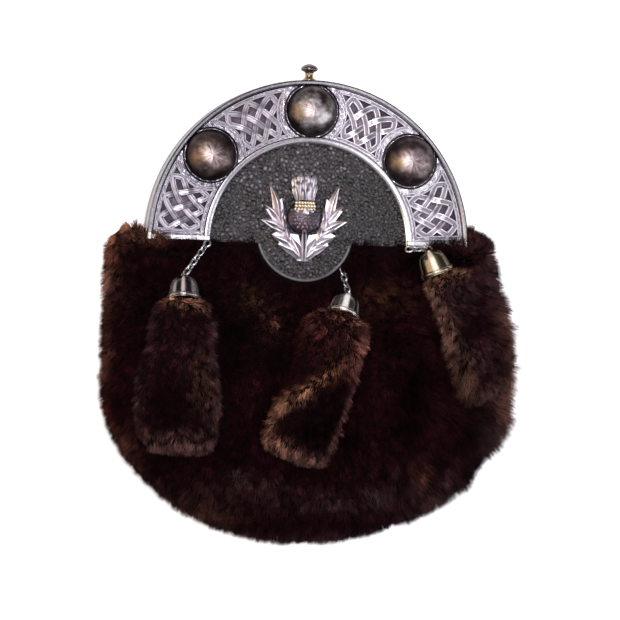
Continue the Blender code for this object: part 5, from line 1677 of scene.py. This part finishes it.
def build_tassel(name, tassel, material, hide, seed):
    """A closed core that follows the measured widths, and the hairs on it."""
    rings, downs = tassel_rings(tassel)
    core = Shape()
    middle = rings.mean(1, keepdims=True)
    shrunk = middle + (rings - middle) * 0.93
    core.rings([[tuple(p) for p in ring] for ring in shrunk])
    core.piece("tassel_core_" + name, hide, 80.0, ["tassel_fur_" + name], slot="brown_fur")
    rings = rings[int(np.searchsorted(downs, -1.0)):]
    wrapped = np.concatenate([rings, rings[:, :1]], 1)
    points, normals = scatter(wrapped, int(TASSEL_PILE_COUNT * 1.5), seed)
    middles = rings.mean(1)
    nearest = np.argmin(((points[:, None] - middles[None]) ** 2).sum(2), 1)
    normals = outward(normals, points - middles[nearest])
    keep = points[:, 2] > fur_z(points[:, 0], points[:, 1]) - 0.5
    points, normals = points[keep][:TASSEL_PILE_COUNT], normals[keep][:TASSEL_PILE_COUNT]
    across, heading = tassel_axes(tassel)
    offset = points - (*tassel["mouth"], 0.0)
    aside, down = offset @ across, offset @ heading
    flow = heading + across * (0.25 * waves(points, 30.0, seed))[:, None]
    length = TASSEL_PILE_LENGTH * (1.0 + 0.12 * waves(points, 15.0, seed + 1))
    length *= blend(0.7, 1.0, smooth((down - 2.0) / 8.0))
    if name == "left":
        length *= 1.0 + 0.35 * smooth((aside - 7.0) / 9.0) * smooth((24.0 - down) / 12.0)
    elif name == "middle":
        length *= 1.0 + 0.9 * smooth((aside - 5.0) / 6.0) * smooth((10.0 - down) / 7.0)
    else:
        outer = smooth((-4.0 - aside) / 6.0) * smooth((down - 14.0) / 30.0)
        flow -= across * (0.9 * outer)[:, None]
        length *= 1.0 + 0.45 * smooth((aside - 7.0) / 9.0) + 0.55 * outer
    roots = points - normals * (1.8 - 1.2 * smooth((2.5 - down) / 2.0))[:, None]
    verts, brightness = grow_pile(roots, normals, flow, length, 0.6, seed + 2)
    tone = BROWN_TIP * 1.1 * (1.0 + 0.4 * waves(points, 18.0, seed + 3))[:, None]
    tone = tint(np.column_stack([aside, down]), TASSEL_TONES_AND_RIM_LIGHT[name], tone, seed + 4)
    add_pile("tassel_pile_" + name, verts, pile_tones(tone, brightness), material)


def build_fur():
    build_hide()
    build_body_pile()
    material = fur_material("tassel_fur")
    hide = hide_material()
    for number, (name, tassel) in enumerate(TASSELS.items()):
        build_tassel(name, tassel, material, hide, 101 + 10 * number)


# ---------------------------------------------------------------- back

def dress_back():
    """The back panel and belt loops keep their solids, and get a plain leather finish."""
    plain = leather_material("back_leather_finish", (0.040, 0.038, 0.038))
    for name in ("back_leather", "strap_loop_left", "strap_loop_right"):
        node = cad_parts[name]
        node.data.materials.clear()
        node.data.materials.append(plain)


# ---------------------------------------------------------------- stage

FLOOR_HALF = 4.0


def build_floor():
    mesh = bpy.data.meshes.new("floor")
    corners = [(x * FLOOR_HALF, y * FLOOR_HALF, 0) for x, y in ((-1, -1), (1, -1), (1, 1), (-1, 1))]
    mesh.from_pydata(corners, [], [(0, 1, 2, 3)])
    floor = add_object("floor", mesh)
    floor.location.z = -0.0003
    n = Nodes("floor_paint")
    n.set(Base_Color=n.mix(n.noise(4.0), (0.90, 0.90, 0.905), (0.93, 0.93, 0.93)),
          Roughness=0.7, Specular_IOR_Level=0.1, Emission_Color=(1.0, 1.0, 1.0, 1.0),
          Emission_Strength=0.22)
    mesh.materials.append(n.owner)


def add_area(name, place, target, size, power, colour):
    light = bpy.data.lights.new(name, "AREA")
    light.shape, light.size, light.energy, light.color = "DISK", size, power, colour
    obj = add_object(name, light)
    obj.location = place
    obj.rotation_mode = "QUATERNION"
    obj.rotation_quaternion = (Vector(target) - Vector(place)).to_track_quat("-Z", "Y")


def build_lights():
    n = Nodes("studio", bpy.data.worlds, "Background")
    place = n.node("ShaderNodeTexCoord").outputs["Generated"]
    height = n.node("ShaderNodeSeparateXYZ", {0: place}).outputs["Z"]
    sky = n.ramp(height, ((0.15, (0.10, 0.090, 0.10)), (0.97, (0.62, 0.603, 0.63))))
    cloud = n.node("ShaderNodeTexNoise", {"Vector": place, "Scale": 2.6, "Detail": 2.0})
    patches = n.range(cloud.outputs["Fac"], 0.38, 0.62, 0.35, 1.65)
    scaled = n.node("ShaderNodeVectorMath", {0: sky, "Scale": patches}, operation="SCALE")
    n.set(Color=scaled.outputs[0])
    bpy.context.scene.world = n.owner
    add_area("key", (-0.45, 0.75, 1.35), (0, 0.02, 0), 0.95, 10.0, (1.0, 0.93, 0.90))
    add_area("fill", (0.9, -0.5, 1.3), (0, 0, 0), 1.2, 7.0, (0.98, 0.95, 1.0))
    add_area("warm_side", (-1.0, 0.1, 0.45), (0, 0, 0.02), 0.7, 4.0, (1.0, 0.74, 0.48))
    add_area("cool_side", (1.0, -0.1, 0.45), (0, -0.03, 0.02), 0.4, 2.5, (0.92, 0.94, 1.0))
    add_area("flash", (-0.24, 0.06, 1.72), (0, 0.03, 0), 0.17, 15.0, (1.0, 0.95, 1.0))


CAMERA_TILT = 10.0              # seen from the left of straight above, in degrees
CAMERA_ROLL = 1.4
PIXELS_PER_MM = 2.0
FRAME_PIXELS = 620
FOCUS_Z = 26.0                  # the plane that the scale is read on
TARGET = (1.34, -33.5)
LENS = 200.0
SENSOR = 36.0


def build_camera():
    tilt, roll = math.radians(CAMERA_TILT), math.radians(CAMERA_ROLL)
    right = Vector((math.cos(tilt), 0.0, math.sin(tilt)))
    up = Vector((0.0, 1.0, 0.0))
    back = Vector((-math.sin(tilt), 0.0, math.cos(tilt)))
    rolled_right = right * math.cos(roll) + up * math.sin(roll)
    rolled_up = up * math.cos(roll) - right * math.sin(roll)
    width = FRAME_PIXELS / PIXELS_PER_MM * MM
    distance = width * LENS / SENSOR
    target = Vector((TARGET[0], TARGET[1] + CENTRE_Y, FOCUS_Z)) * MM
    camera = bpy.data.cameras.new("camera")
    camera.lens, camera.sensor_width = LENS, SENSOR
    camera.clip_start, camera.clip_end = 0.05, 20.0
    obj = add_object("camera", camera)
    obj.matrix_world = Matrix.Translation(target + back * distance) @ Matrix(
        (rolled_right, rolled_up, back)).transposed().to_4x4()
    bpy.context.scene.camera = obj


build_camera()
build_floor()
build_lights()
bpy.context.scene.view_settings.view_transform = "Standard"
build_cantle()
build_domes()
build_knob()
build_front_leather()
build_badge()
build_caps_and_chains()
dress_back()
build_fur()
